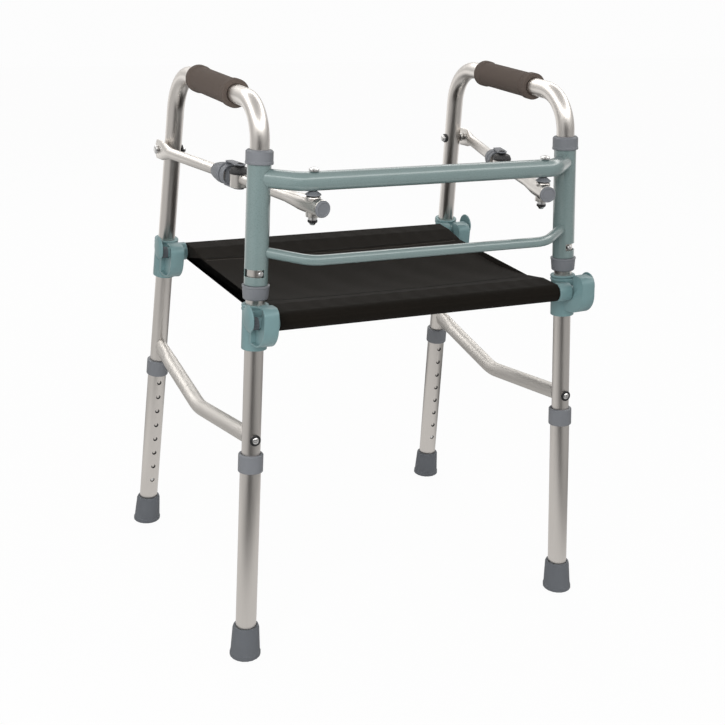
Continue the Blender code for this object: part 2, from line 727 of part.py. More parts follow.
        profile += [(KNUCKLE_R * 0.55, KNUCKLE_TOP - 0.0006), (KNUCKLE_R * 0.2, KNUCKLE_TOP)]
        dome = cutter("dome_" + tag, *revolve(profile, 12, hub, False))
        combine(link, dome, "UNION")


def build_seat():
    """Two cross tubes in hooks with a hemmed sling between them"""
    ends = {}
    for which, axis in (("front", front_axis), ("rear", rear_axis)):
        at = seat_point(axis, 1)
        y = at.y
        ends[which] = (y, at.x)
        half = at.x - 0.0125
        matrix = aim(Vector((0, y, SEAT_Z)), Vector((1, 0, 0)))
        profile = [(SEAT_TUBE_R, -half), (SEAT_TUBE_R, half)]
        profile += [(SEAT_TUBE_R - 0.0012, half), (SEAT_TUBE_R - 0.0012, -half)]
        shell = revolve(profile, 16, matrix, True)
        mesh_object("seat_tube_" + which, *shell, "aluminium")
        for s, tag in ((1, "right"), (-1, "left")):
            matrix = aim(Vector((s * at.x, y, SEAT_Z)), Vector((s, 0, 0)))
            cavity = SEAT_TUBE_R + GAP
            plug = SEAT_TUBE_R - 0.0012 - GAP
            profile = [(plug, -0.042), (plug, -0.0121), (cavity, -0.0121), (cavity, -0.0160)]
            profile += [(CAP_R - 0.0005, -0.0160), (CAP_R, -0.0155), (CAP_R, -0.0108)]
            profile += [(CAP_STEP_R, -0.0108), (CAP_STEP_R, -HOOK_INWARD - 0.0008)]
            profile += [(NECK_R, -HOOK_INWARD - 0.0008), (NECK_R, DISC_IN + 0.0010)]
            cap = mesh_object(
                "seat_cap_" + which + "_" + tag, *revolve(profile, 12, matrix, False), "clip"
            )
            middle = Vector((s * at.x, y - DISC_AHEAD, SEAT_Z + DISC_UP))
            profile = [(DISC_R - 0.0008, DISC_IN), (DISC_R, DISC_IN + 0.0008)]
            profile += [(DISC_R - 0.0006, DISC_IN + 0.0022), (DISC_R * 0.75, DISC_IN + 0.0046)]
            profile += [(DISC_R * 0.35, DISC_IN + 0.0060)]
            shell = revolve(profile, 14, aim(middle, Vector((s, 0, 0))), False)
            combine(cap, cutter("disc", *shell), "UNION")
    build_sling(ends["front"][0], ends["rear"][0])


def build_sling(front, rear):
    """Closed strip: loops round both tubes, sag between, seams as shallow steps"""
    band = FABRIC_BAND_R
    inner = SEAT_TUBE_R + GAP
    span = rear - front
    count_x = 9
    rows = []
    steps = 8

    def sag(f, g):
        return FABRIC_SAG * (1 - g * g) * 4 * f * (1 - f)

    outline = []
    for k in range(9):
        a = math.radians(90 + 22.5 * k)
        outline.append((front + band * math.cos(a), band * math.sin(a), 0))
    outline.append((front + 0.030, -0.0120 + 0.0055, 0))
    lower = []
    for k in range(1, steps):
        f = k / steps
        y = front + 0.034 + (span - 0.068) * f
        lower.append((y, band - FABRIC_T - 0.0006, f))
    outline += lower
    outline.append((rear - 0.030, -0.0120 + 0.0055, 0))
    for k in range(9):
        a = math.radians(-90 + 22.5 * k)
        outline.append((rear + band * math.cos(a), band * math.sin(a), 0))
    upper = []
    for k in range(1, steps):
        f = 1 - k / steps
        y = front + 0.034 + (span - 0.068) * f
        upper.append((y, band - 0.0006, f))
    outline += upper

    half_front = seat_point(front_axis, 1).x - FABRIC_EDGE
    half_rear = seat_point(rear_axis, 1).x - FABRIC_EDGE

    def half(y):
        return half_front + (half_rear - half_front) * (y - front) / (rear - front)

    for c in range(count_x):
        g = -1 + 2 * c / (count_x - 1)
        row = []
        for y, z, f in outline:
            drop = sag(f, 0.0) * (1 - 0.2 * g * g) if f else 0.0
            row.append(Vector((g * half(y), y, SEAT_Z + z - drop)))
        rows.append(row)
    count = len(outline)
    verts = [v for row in rows for v in row]
    faces = []
    for c in range(count_x - 1):
        faces += ring_faces(c * count, (c + 1) * count, count)
    last = (count_x - 1) * count
    faces += [tuple(range(count)), tuple(range(last, last + count))]
    sling = mesh_object("seat_sling", verts, faces, "fabric")
    for y in (front, rear):
        matrix = aim(Vector((0, y, SEAT_Z)), Vector((1, 0, 0)))
        tool = rod_cutter("seat_bore", matrix, inner, -FOOT_X_REAR, FOOT_X_REAR, 20)
        combine(sling, tool, "DIFFERENCE")


clear_scene()
build_front()
for sign, word in ((1, "right"), (-1, "left")):
    build_side(sign, word)
build_seat()
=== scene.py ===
import json
import math

import bmesh
import bpy
from mathutils import Matrix, Vector

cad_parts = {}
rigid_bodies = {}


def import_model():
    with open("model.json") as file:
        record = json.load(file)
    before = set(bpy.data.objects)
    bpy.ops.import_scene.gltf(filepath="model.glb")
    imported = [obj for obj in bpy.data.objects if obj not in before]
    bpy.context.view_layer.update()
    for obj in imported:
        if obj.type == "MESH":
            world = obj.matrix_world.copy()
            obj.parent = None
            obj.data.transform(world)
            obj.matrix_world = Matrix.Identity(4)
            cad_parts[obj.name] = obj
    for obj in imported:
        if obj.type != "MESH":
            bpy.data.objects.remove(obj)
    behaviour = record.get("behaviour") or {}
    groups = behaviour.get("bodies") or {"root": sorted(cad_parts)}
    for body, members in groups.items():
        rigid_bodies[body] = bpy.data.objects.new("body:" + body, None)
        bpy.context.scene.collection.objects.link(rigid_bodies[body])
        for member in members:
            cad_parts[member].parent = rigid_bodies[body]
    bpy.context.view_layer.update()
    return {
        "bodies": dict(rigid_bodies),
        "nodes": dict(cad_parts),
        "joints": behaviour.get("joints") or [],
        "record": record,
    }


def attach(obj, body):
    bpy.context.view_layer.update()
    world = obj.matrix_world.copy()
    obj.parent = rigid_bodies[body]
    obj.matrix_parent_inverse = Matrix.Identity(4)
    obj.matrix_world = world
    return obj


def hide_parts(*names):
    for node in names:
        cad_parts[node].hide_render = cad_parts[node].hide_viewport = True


for item in list(bpy.data.objects):
    bpy.data.objects.remove(item, do_unlink=True)
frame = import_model()

# How many times finer the shown pieces are than the CAD's facets
FINE = 3
# Edges sharper than this many degrees stay crisp
SHARP_FROM = 32

# Stance of the legs: foot centres on the floor and lean per metre of height
FRONT_Y = -0.2230
FOOT_X_FRONT = 0.2583
LEAN_X_FRONT = 0.0374
LEAN_Y_FRONT = 0.065
FOOT_SPACING_Y = 0.4504
FOOT_X_REAR = 0.2658
LEAN_X_REAR = 0.0402
LEAN_Y_REAR = 0.105

# Tubes of the side frames
UPPER_R = 0.0127
WALL = 0.0013
LOWER_R = 0.0143
LOWER_WALL = 0.0012
TUBE_SIDES = 16
UPPER_END_Z = 0.065
TOP_Z = 0.758
FRONT_BEND = 0.055
REAR_BEND = 0.067
GAP = 0.0004
SCREW_HOLE_R = 0.0030

# Height adjustment
HOLE_R = 0.0036
HOLE_PITCH = 0.0254
HOLE_COUNT = 8
RIM_SIDES = 16
BUTTON_Z = 0.081
BUTTON_R = 0.0031
LOWER_BOTTOM_Z = 0.0135
LOWER_TOP_Z = 0.285
COLLAR_Z = 0.2695
COLLAR_H = 0.0252
COLLAR_R = 0.017
FOOT_H = 0.045
FOOT_R = 0.0215
FOOT_TOP_R = 0.0185
FOOT_SIDES = 18

# Front frame
SLEEVE_R = 0.0157
SLEEVE_BORE = 0.0144
CLIP_TOP = 0.500
BUSH_BOTTOM = CLIP_TOP + 0.0065
SLEEVE_Z = BUSH_BOTTOM + 0.0193
SLEEVE_TOP = 0.6819
BUSH_R = 0.018
BUSH_TOP = 0.7008
UPPER_BAR_Z = 0.665
UPPER_BAR_R = 0.0125
UPPER_BAR_Y = 0.0052
UPPER_BAR_HALF = 0.190
UPPER_BAR_BEND = 0.030
LOWER_BAR_Z = 0.5635
LOWER_BAR_RISE = 0.0065
LOWER_BAR_R = 0.007
LOWER_BAR_Y = -0.008
LOWER_BAR_HALF = 0.178
LOWER_BAR_BEND = 0.048
STOP_R = 0.0023
SLOT_Z = SLEEVE_Z + 0.0112
SLOT_H = 0.010
SLOT_INWARD = math.radians(20)
SLOT_OUTWARD = math.radians(105)

# Folding side braces at the top
PIVOT_X = 0.1737
EYE_R = 0.0033
LINK_R = 0.008
LINK_END_R = 0.0116
BOSS_R = 0.0092
BOSS_DOWN = 0.0142
LINK_Z = 0.633
KNUCKLE_X = 0.2105
KNUCKLE_Y = 0.1760
KNUCKLE_Z = 0.6360
KNUCKLE_R = 0.0132
KNUCKLE_TOP = 0.6515
KNUCKLE_CLEAR = 0.0275
TONGUE_HALF = 0.0056
TONGUE_R = 0.0074
LINK_REAR_Z = 0.6385
LINK_REAR_OUT = 0.0185

# Lower side braces
BRACE_R = 0.0112
BRACE_Z_FRONT = 0.3165
BRACE_Z_BEND = 0.2985
BRACE_Z_REAR = 0.3195
BRACE_BEND_U = 0.205
BRACE_BEND_R = 0.10

# Seat
SEAT_Z = CLIP_TOP - 0.017
SEAT_TUBE_R = 0.011
SEAT_TUBE_WALL = 0.0012
SEAT_AHEAD = 0.029
CLOTH_FRONT = (-0.0060, 0.2150)
CLOTH_REAR = (-0.0020, 0.2225)
FABRIC_BAND_R = 0.0126
FABRIC_T = 0.0024
FABRIC_SAG = 0.021
HEM = 0.076
HEM_STEP = 0.0005
SEAM_SINK = 0.0006
SEAM_HALF = 0.0022
SLING_COLUMNS = 40 * FINE
STITCH_PITCH = 0.0042
STITCH_SIZE = (0.0040, 0.0011, 0.0011)
HOOK_LOW_Z = 0.4508
HOOK_BEND_Y = 0.032
HOOK_BEND_Z = 0.030
HOOK_TIP_R = 0.012
HOOK_CROWN = 0.0115
HOOK_SHOULDER = 0.0015
HOOK_OUT = 0.0126
HOOK_INWARD = 0.0074
HOOK_WALL = 0.0022
HOOK_RECESS = 0.0060
HOOK_REACH = 0.0640
CLIP_R = 0.017
CLIP_Z = CLIP_TOP - 0.0605
NECK_R = 0.008
CAP_R = 0.0135
CAP_STEP_R = 0.0092
DISC_R = 0.0180
DISC_IN = 0.0194
DISC_UP = 0.0085
DISC_AHEAD = 0.003

# Hand grips
GRIP_R = 0.018
GRIP_END_R = 0.0195
GRIP_START = 0.0865
GRIP_LENGTH = 0.148

# Camera that took the photo, fitted to its legs, bars and holes
VIEW_RIGHT = Vector((0.8997, -0.4345, 0.0436)).normalized()
VIEW_BACK = Vector((-0.4265, -0.8529, 0.3012))
VIEW_FROM = Vector((-0.8318, FRONT_Y - 1.4956, 1.0105))
VIEW_LENS = 65.02
VIEW_SHIFT = (-0.0141, -0.069)

# Light: each lamp's name, place, size and power
WARM = (1, 0.985, 0.965)
LAMPS = (
    ("key", (-1.25, -1.6, 1.4), 1.3, 27),
    ("fill", (2.4, -1.2, 1.5), 1.8, 8),
    ("back", (0.6, 2.2, 2.2), 1.6, 16),
)

# Sides and directions
HANDS = ((1, "right"), (-1, "left"))
ACROSS = Vector((1, 0, 0))
BACKWARD = Vector((0, 1, 0))
UPWARD = Vector((0, 0, 1))


class Value:
    """A shader socket that takes part in sums and products"""

    def __init__(self, look, socket):
        self.look = look
        self.socket = socket

    def maths(self, operation, other, swapped=False):
        node = self.look.tree.nodes.new("ShaderNodeMath")
        node.operation = operation
        pair = (other, self) if swapped else (self, other)
        for slot, value in zip(node.inputs, pair):
            self.look.feed(slot, value)
        return Value(self.look, node.outputs[0])

    def __add__(self, other):
        return self.maths("ADD", other)

    def __sub__(self, other):
        return self.maths("SUBTRACT", other)

    def __rsub__(self, other):
        return self.maths("SUBTRACT", other, True)

    def __mul__(self, other):
        return self.maths("MULTIPLY", other)


class Nodes:
    """A node tree whose nodes are made from named inputs"""

    def __init__(self, tree):
        self.tree = tree

    def feed(self, slot, value):
        if isinstance(value, Value):
            self.tree.links.new(value.socket, slot)
        elif isinstance(value, tuple) and len(value) == 3 and len(slot.default_value) == 4:
            slot.default_value = (*value, 1)
        else:
            slot.default_value = value

    def node(self, kind, output=0, settings=None, **inputs):
        made = self.tree.nodes.new("ShaderNode" + kind)
        for key, value in (settings or {}).items():
            setattr(made, key, value)
        for key, value in inputs.items():
            self.feed(made.inputs[key.replace("_", " ")], value)
        return Value(self, made.outputs[output])

    def vector(self, operation, at, other, output="Value"):
        made = self.node("VectorMath", output, {"operation": operation}, Vector=at)
        self.feed(made.socket.node.inputs[1], other)
        return made

    def ramp(self, value, low, high, a, b, kind="SMOOTHSTEP"):
        """From a to b where the value goes from low to high"""
        ends = {"From_Min": low, "From_Max": high, "To_Min": a, "To_Max": b}
        return self.node("MapRange", 0, {"interpolation_type": kind}, Value=value, **ends)

    def blend(self, factor, a, b):
        """Two shaders, the second where the factor is 1"""
        made = self.tree.nodes.new("ShaderNodeMixShader")
        for slot, value in zip(made.inputs, (factor, a, b)):
            self.feed(slot, value)
        return Value(self, made.outputs[0])


class Look(Nodes):
    """A material that ends in one surface shader"""

    def __init__(self, name):
        self.material = bpy.data.materials.new("look_" + name)
        self.material.use_nodes = True
        super().__init__(self.material.node_tree)
        self.shader = self.tree.nodes["Principled BSDF"]

    def place(self, scale=(1, 1, 1)):
        coords = self.node("TexCoord", "Object")
        return self.node("Mapping", Vector=coords, Scale=scale)

    def noise(self, scale, detail=2.0, stretch=(1, 1, 1)):
        at = self.place(stretch)
        return self.node("TexNoise", "Fac", Vector=at, Scale=scale, Detail=detail)

    def mix(self, factor, a, b):
        made = self.tree.nodes.new("ShaderNodeMix")
        made.data_type = "RGBA"
        for slot, value in ((made.inputs[0], factor), (made.inputs[6], a), (made.inputs[7], b)):
            self.feed(slot, value)
        return Value(self, made.outputs[2])

    def bump(self, height, strength, distance):
        made = self.node("Bump", Height=height, Strength=strength, Distance=distance)
        self.feed(self.shader.inputs["Normal"], made)

    def finish(self, **inputs):
        for key, value in inputs.items():
            self.feed(self.shader.inputs[key.replace("_", " ")], value)
        return self.material


def shade(colour, factor):
    return tuple(c * factor for c in colour)


def satin_metal(name, colour, rough, streak, grain_scale=(500, 500, 10)):
    """Anodised tube: fine lengthwise grain and a slightly uneven sheen"""
    look = Look(name)
    grain = look.noise(1.0, 3.0, grain_scale)
    cloud = look.noise(9.0, 2.0)
    tone = look.mix(grain * 0.5 + cloud * 0.5, shade(colour, 0.90), shade(colour, 1.06))
    look.bump(grain, streak, 0.0002)
    return look.finish(Base_Color=tone, Metallic=1.0, Roughness=cloud * 0.10 + grain * 0.06 + rough)


def moulded(name, colour, rough, speckle, coat, grit):
    """Painted or moulded skin with faint mottling and orange peel"""
    look = Look(name)
    fine = look.noise(900.0, 2.0)
    broad = look.noise(24.0, 3.0)
    tone = look.mix(broad, shade(colour, 1 - speckle), shade(colour, 1 + speckle))
    look.bump(fine, grit, 0.0003)
    return look.finish(
        Base_Color=tone, Roughness=fine * 0.08 + rough, Coat_Weight=coat, Coat_Roughness=0.12
    )


def foam(name, colour):
    look = Look(name)
    pores = look.noise(1500.0, 3.0)
    broad = look.noise(60.0, 2.0)
    tone = look.mix(pores, shade(colour, 0.72), shade(colour, 1.25))
    look.bump(pores + broad * 0.4, 0.5, 0.0006)
    return look.finish(Base_Color=tone, Roughness=broad * 0.08 + 0.80, Specular_IOR_Level=0.25)


def woven(name, colour):
    """Plain weave from two crossed wave patterns, with a little fading"""
    look = Look(name)
    waves = []
    for axis in ("X", "Y"):
        settings = {"bands_direction": axis}
        shape = {"Vector": look.place(), "Scale": 210.0, "Distortion": 0.4}
        waves.append(look.node("TexWave", "Fac", settings, **shape))
    weave = waves[0] * 0.5 + waves[1] * 0.5
    wear = look.noise(14.0, 4.0)
    tone = look.mix(wear * 0.6 + weave * 0.4, shade(colour, 0.7), shade(colour, 1.45))
    look.bump(weave + wear * 0.6, 0.35, 0.0005)
    return look.finish(
        Base_Color=tone, Roughness=wear * 0.10 + 0.78, Sheen_Weight=0.015, Sheen_Roughness=0.45,
        Specular_IOR_Level=0.07,
    )


LOOKS = {
    name: maker(name, *values)
    for name, maker, *values in (
        ("aluminium", satin_metal, (0.75, 0.72, 0.69), 0.25, 0.07),
        ("brushed", satin_metal, (0.60, 0.58, 0.555), 0.44, 0.01, (40, 40, 40)),
        ("rod", satin_metal, (0.74, 0.715, 0.685), 0.27, 0.02, (60, 60, 60)),
        ("steel", satin_metal, (0.74, 0.74, 0.74), 0.20, 0.05),
        ("frame", moulded, (0.168, 0.231, 0.230), 0.24, 0.07, 0.8, 0.04),
        ("clip", moulded, (0.150, 0.250, 0.262), 0.34, 0.10, 0.0, 0.10),
        ("plastic", moulded, (0.170, 0.179, 0.196), 0.44, 0.10, 0.0, 0.10),
        ("rubber", moulded, (0.112, 0.121, 0.135), 0.66, 0.14, 0.0, 0.20),
        ("black", moulded, (0.012, 0.012, 0.013), 0.48, 0.10, 0.0, 0.10),
        ("grip", foam, (0.110, 0.088, 0.076)),
        ("fabric", woven, (0.0086, 0.0072, 0.0057)),
        ("edging", moulded, (0.060, 0.054, 0.046), 0.80, 0.2, 0.0, 0.2),
        ("thread", moulded, (0.0020, 0.0018, 0.0016), 0.85, 0.2, 0.0, 0.3),
    )
}


class Bench:
    """The frame that new pieces are made in, and the pieces made so far"""

    matrix = Matrix.Identity(4)
    made = {}
    extras = []


def placed(name, data):
    """A new object in the scene that shows the data"""
    made = bpy.data.objects.new(name, data)
    bpy.context.scene.collection.objects.link(made)
    return made


def mesh_object(name, verts, faces, look):
    mesh = bpy.data.meshes.new(name)
    mesh.from_pydata([tuple(Bench.matrix @ v) for v in verts], [], faces)
    work = bmesh.new()
    work.from_mesh(mesh)
    bmesh.ops.recalc_face_normals(work, faces=work.faces)
    work.to_mesh(mesh)
    work.free()
    mesh.materials.append(LOOKS[look])
    smooth(mesh)
    return placed(name, mesh)


def smooth(mesh):
    mesh.shade_smooth()
    mesh.set_sharp_from_angle(angle=math.radians(SHARP_FROM))


def piece(node, verts, faces, look):
    """A finer piece that stands for a CAD node"""
    made = mesh_object(node + "_fine", verts, faces, look)
    Bench.made[node] = made
    return made


def extra(made, body, slot):
    """A shown piece with no CAD node of its own"""
    Bench.extras.append((made, body, slot))


def trim(name, look, body, shell, slot=None):
    """A small shown piece made from a shell of verts and faces, with no CAD node"""
    made = mesh_object(name, *shell, look)
    extra(made, body, slot or ("plastic" if look == "black" else look))
    return made


def baked(target):
    """The target's modifiers become its mesh"""
    bpy.context.view_layer.update()
    shaped = bpy.data.meshes.new_from_object(
        target.evaluated_get(bpy.context.evaluated_depsgraph_get())
    )
    target.modifiers.clear()
    old = target.data
    target.data = shaped
    bpy.data.meshes.remove(old)
    shaped.name = target.name
    smooth(shaped)


def combine(target, operation, shells):
    tool = mesh_object("tool", *joined(shells), "steel")
    modifier = target.modifiers.new("cut", "BOOLEAN")
    modifier.operation = operation
    modifier.solver = "EXACT"
    modifier.object = tool
    baked(target)
    while len(target.data.materials) > 1:
        target.data.materials.pop()
    bpy.data.objects.remove(tool, do_unlink=True)


def cut(target, *shells):
    """The shells, each of verts and faces, are taken out of the target"""
    combine(target, "DIFFERENCE", shells)


def unite(target, *shells):
    combine(target, "UNION", shells)


def rounded(target, width, angle):
    """Edges of a moulded piece sharper than the angle, broken by a small radius"""
    modifier = target.modifiers.new("edge", "BEVEL")
    modifier.width = width
    modifier.segments = 2
    modifier.limit_method = "ANGLE"
    modifier.angle_limit = math.radians(angle)
    baked(target)


def soften(profile, radius, closed):
    """Profile corners rounded by short arcs"""
    if not radius:
        return profile
    out = []
    count = len(profile)
    for k in range(count):
        here = Vector(profile[k])
        if not closed and k in (0, count - 1):
            out.append(profile[k])
            continue
        before = Vector(profile[k - 1])
        after = Vector(profile[(k + 1) % count])
        a, b = before - here, after - here
        if a.angle(b, math.pi) > math.radians(165):
            out.append(profile[k])
            continue
        p = here + a.normalized() * min(radius, a.length * 0.42)
        q = here + b.normalized() * min(radius, b.length * 0.42)
        for f in (0.0, 0.25, 0.5, 0.75, 1.0):
            r = p * (1 - f) ** 2 + here * (2 * f * (1 - f)) + q * f**2
            out.append((max(r.x, 0.0001), r.y))
    return out


def circle(centre, side, up, half_a, half_b, count):
    ring = []
    for k in range(count):
        a = 2 * math.pi * k / count
        ring.append(centre + side * (half_a * math.cos(a)) + up * (half_b * math.sin(a)))
    return ring


def ring_faces(a, b, count):
    return [(a + k, a + (k + 1) % count, b + (k + 1) % count, b + k) for k in range(count)]


def sweep(points, sizes, up, count, bore=None):
    """Rings along a flat path, closed at both ends, hollow where a bore is given"""
    verts, faces = [], []
    count *= FINE
    skins = [sizes] if bore is None else [sizes, [(bore, bore)] * len(points)]
    before = points[:1] + points[:-1]
    after = points[1:] + points[-1:]
    for skin in skins:
        for p, a, b, size in zip(points, before, after, skin):
            d = (b - a).normalized()
            side = up.cross(d).normalized()
            rise = d.cross(side).normalized()
            verts += circle(p, side, rise, size[0], size[1], count)
    rows = len(points)
    for k in range(len(skins)):
        base = k * rows * count
        for r in range(rows - 1):
            faces += ring_faces(base + r * count, base + (r + 1) * count, count)
    last = (rows - 1) * count
    if bore is None:
        faces += [tuple(range(count)), tuple(range(last, last + count))]
    else:
        inner = rows * count
        faces += ring_faces(0, inner, count)
        faces += ring_faces(last, inner + last, count)
    return verts, faces


def fillet(points, radii, steps):
    """Straight path with each inner corner replaced by an arc of the given radius"""
    out = [points[0]]
    for k in range(1, len(points) - 1):
        a = (points[k - 1] - points[k]).normalized()
        b = (points[k + 1] - points[k]).normalized()
        half = a.angle(b) / 2
        run = radii[k - 1] / math.tan(half)
        centre = points[k] + (a + b).normalized() * (radii[k - 1] / math.sin(half))
        start = points[k] + a * run - centre
        end = points[k] + b * run - centre
        turn = start.angle(end)
        steps_here = steps * FINE
        for m in range(steps_here + 1):
            f = m / steps_here
            blend = start * math.sin((1 - f) * turn) + end * math.sin(f * turn)
            out.append(centre + blend / math.sin(turn))
    return out + [points[-1]]


def revolve(profile, count, matrix, closed, radius=0.0005):
    """Profile of (radius, height) turned about local Z"""
    verts, faces = [], []
    count *= FINE
    profile = soften(profile, radius, closed)
    for r, z in profile:
        for k in range(count):
            a = 2 * math.pi * k / count
            verts.append(matrix @ Vector((r * math.cos(a), r * math.sin(a), z)))
    rows = len(profile)
    for r in range(rows - 1 + closed):
        faces += ring_faces(r * count, (r + 1) % rows * count, count)
    if not closed:
        last = (rows - 1) * count
        faces += [tuple(range(count)), tuple(range(last, last + count))]
    return verts, faces


def band(inner, outer, low, high):
    """Profile of a ring with a rectangular section"""
    return [(inner, low), (outer, low), (outer, high), (inner, high)]


def rod(matrix, radius, low, high, count=12):
    return revolve([(radius, low), (radius, high)], count, matrix, False, 0)


def prism(outline, low, high, place):
    """Outline of (a, b) pairs drawn out between two depths by the place function"""
    count = len(outline)
    verts = [place(d, a, b) for d in (low, high) for a, b in outline]
    faces = [tuple(range(count)), tuple(range(count, 2 * count))]
    return verts, faces + ring_faces(0, count, count)


def axes(x, y, z, origin):
    """Matrix at the origin with these three axes"""
    made = Matrix((x, y, z)).transposed().to_4x4()
    made.translation = origin
    return made


def aim(origin, direction, roll=UPWARD):
    """Matrix at the origin with its Z along the direction"""
    z = direction.normalized()
    x = roll.cross(z)
    x = x.normalized() if x.length > 1e-3 else ACROSS
    return axes(x, z.cross(x), z, origin)


def joined(shells):
    """Several shells as one list of verts and one of faces"""
    verts, faces = [], []
    for v, f in shells:
        base = len(verts)
        verts += v
        faces += [tuple(base + k for k in face) for face in f]
    return verts, faces


def front_axis(s, z):
    return Vector((s * (FOOT_X_FRONT - LEAN_X_FRONT * z), FRONT_Y + LEAN_Y_FRONT * z, z))


def rear_axis(s, z):
    y = FRONT_Y + FOOT_SPACING_Y - LEAN_Y_REAR * z
    return Vector((s * (FOOT_X_REAR - LEAN_X_REAR * z), y, z))


def seat_point(axis, s):
    """Centre of the seat tube beside a leg"""
    at = axis(s, SEAT_Z)
    return Vector((at.x, at.y - SEAT_AHEAD, SEAT_Z))


def side_frame(s):
    """Origin at the front foot, Z up the front leg, Y rearwards in the side's plane"""
    up = (front_axis(s, 1) - front_axis(s, 0)).normalized()
    back = rear_axis(s, 0) - front_axis(s, 0)
    back = (back - up * back.dot(up)).normalized()
    return axes(back.cross(up), back, up, front_axis(s, 0))


def flat(v):
    return Vector((0, v.y, v.z))


def leg_matrix(side, s, rear):
    """The leg's own frame inside its side frame: Z up the leg, Y rearwards"""
    if not rear:
        return Matrix.Identity(4)
    low = flat(side.inverted() @ rear_axis(s, 0))
    high = flat(side.inverted() @ rear_axis(s, 1))
    up = (high - low).normalized()
    return axes(ACROSS, up.cross(ACROSS), up, low)


def along(rear):
    """Length along a leg per metre of height"""
    if rear:
        return math.sqrt(1 + LEAN_X_REAR**2 + LEAN_Y_REAR**2)
    return math.sqrt(1 + LEAN_X_FRONT**2 + LEAN_Y_FRONT**2)


def height(rear, z):
    return z * along(rear)


def across_leg(frame, rear, z, sign, beyond=0.0):
    """Matrix on a leg's axis at a height above the floor, with its Z rearwards or forwards"""
    spot = frame @ Vector((0, 0, height(rear, z) + beyond))
    return aim(spot, frame.to_3x3() @ (BACKWARD * sign), ACROSS)


def sector(r0, r1, z0, z1, a0, a1, steps):
    """Part ring between two angles, as verts and faces"""
    verts, faces = [], []
    for k in range(steps + 1):
        a = a0 + (a1 - a0) * k / steps
        for r, z in ((r0, z0), (r1, z0), (r1, z1), (r0, z1)):
            verts.append(Vector((r * math.cos(a), r * math.sin(a), z)))
    for k in range(steps):
        faces += ring_faces(4 * k, 4 * k + 4, 4)
    return verts, faces + [(0, 1, 2, 3), tuple(range(4 * steps, 4 * steps + 4))]


def hook_curve(z, low, wall):
    """The hook's lower bend and its round tip, a wall's thickness inside the outer face"""
    out = []
    for k in range(1, 18):
        a = math.radians(-90 + 5 * k)
        y = HOOK_REACH - HOOK_BEND_Y + (HOOK_BEND_Y - wall) * math.cos(a)
        out.append((y, low + HOOK_BEND_Z - wall + (HOOK_BEND_Z - wall) * math.sin(a)))
    for k in range(12):
        a = math.radians(8 * k)
        y = HOOK_REACH - HOOK_TIP_R + (HOOK_TIP_R - wall) * math.cos(a)
        out.append((y, z - 0.0005 + (HOOK_TIP_R - wall) * math.sin(a)))
    return out


def hook_outline(z, ahead, seat):
    """Hook seen from the side, as (forward, height), with a slot open at the top"""
    low = height(False, HOOK_LOW_Z)
    half = NECK_R + 0.0015
    out = [(0.0, low), (0.020, low)] + hook_curve(z, low, 0.0)
    out += [(ahead + half + 0.0012, z + HOOK_CROWN), (ahead + half, z + HOOK_CROWN - 0.0015)]
    for k in range(9):
        a = math.radians(-180 * k / 8)
        out.append((ahead + half * math.cos(a), seat + half * math.sin(a)))
    return out + [(ahead - half, z - HOOK_SHOULDER), (0.0, z - HOOK_SHOULDER)]


def recess_outline(z, ahead):
    """Hollow in the hook's outer face, a wall's thickness inside its rim"""
    low = height(False, HOOK_LOW_Z) + HOOK_WALL
    crown = z + HOOK_CROWN - HOOK_WALL
    shoulder = z - HOOK_SHOULDER - HOOK_WALL
    out = [(0.0195, low), (0.0200, low)] + hook_curve(z, low, HOOK_WALL)
    return out + [(ahead, crown), (ahead, shoulder), (0.0195, shoulder)]


def painted_hole_shade(matrix, rise):
    """Painted shade: a dark crescent inside a height hole, wider below, where shade falls in the
    hole
    """
    verts, faces = [], []
    rim = ((HOLE_R, 0.0137), (0.0027, 0.0135), (0.0027, 0.0130), (HOLE_R, 0.0130))
    for row, (radius, depth) in enumerate(rim):
        shift = rise if radius < HOLE_R else rise * 0
        ring = circle(Vector((0, 0, depth)), ACROSS, BACKWARD, radius, radius, RIM_SIDES)
        verts += [matrix @ (v + shift) for v in ring]
        faces += ring_faces(row * RIM_SIDES, (row + 1) % 4 * RIM_SIDES, RIM_SIDES)
    return verts, faces


def crossed(target, matrix, depth, reach):
    """Crossed recess in a screw's head"""
    for turn in (0, math.pi / 2):
        place = matrix @ Matrix.Rotation(turn, 4, "Z")
        ends = [(reach, -0.0005), (reach, 0.0005), (-reach, 0.0005), (-reach, -0.0005)]
        blade = prism(ends, depth, depth + 0.004, lambda d, a, b: place @ Vector((a, b, d)))
        cut(target, blade)


def clip(name, s, frame, seat_at, bore):
    """Leg clip: clamp round the leg with a beaded top, and the hook that carries the seat tube"""
    low = height(False, CLIP_Z)
    top = height(False, CLIP_TOP)
    ring_low = top - 0.0085
    profile = [(0.004, low), (CLIP_R - 0.0006, low), (CLIP_R, low + 0.0006)]
    profile += [(CLIP_R, ring_low), (CLIP_R + 0.0011, ring_low + 0.0008)]
    profile += [(CLIP_R + 0.0011, ring_low + 0.0030), (CLIP_R - 0.0002, ring_low + 0.0038)]
    profile += [(CLIP_R - 0.0002, ring_low + 0.0048), (CLIP_R + 0.0011, ring_low + 0.0054)]
    profile += [(CLIP_R + 0.0011, top - 0.001), (CLIP_R + 0.0002, top), (0.004, top)]
    body = piece(name, *revolve(profile, 18, frame, False), "clip")
    outline = hook_outline(ring_low + 0.0035, -seat_at.y, seat_at.z)

    def place(out, fore, up):
        return frame @ Vector((s * out, -fore, up))

    unite(body, prism(outline, -HOOK_INWARD, HOOK_OUT, place))
    outline = recess_outline(ring_low + 0.0035, -seat_at.y)
    floor = HOOK_OUT - HOOK_RECESS
    cut(body, prism(outline, floor, HOOK_OUT + 0.002, place))
    cut(body, rod(frame, bore, low - 0.01, top + 0.02, 16))
    rounded(body, 0.0007, 50)


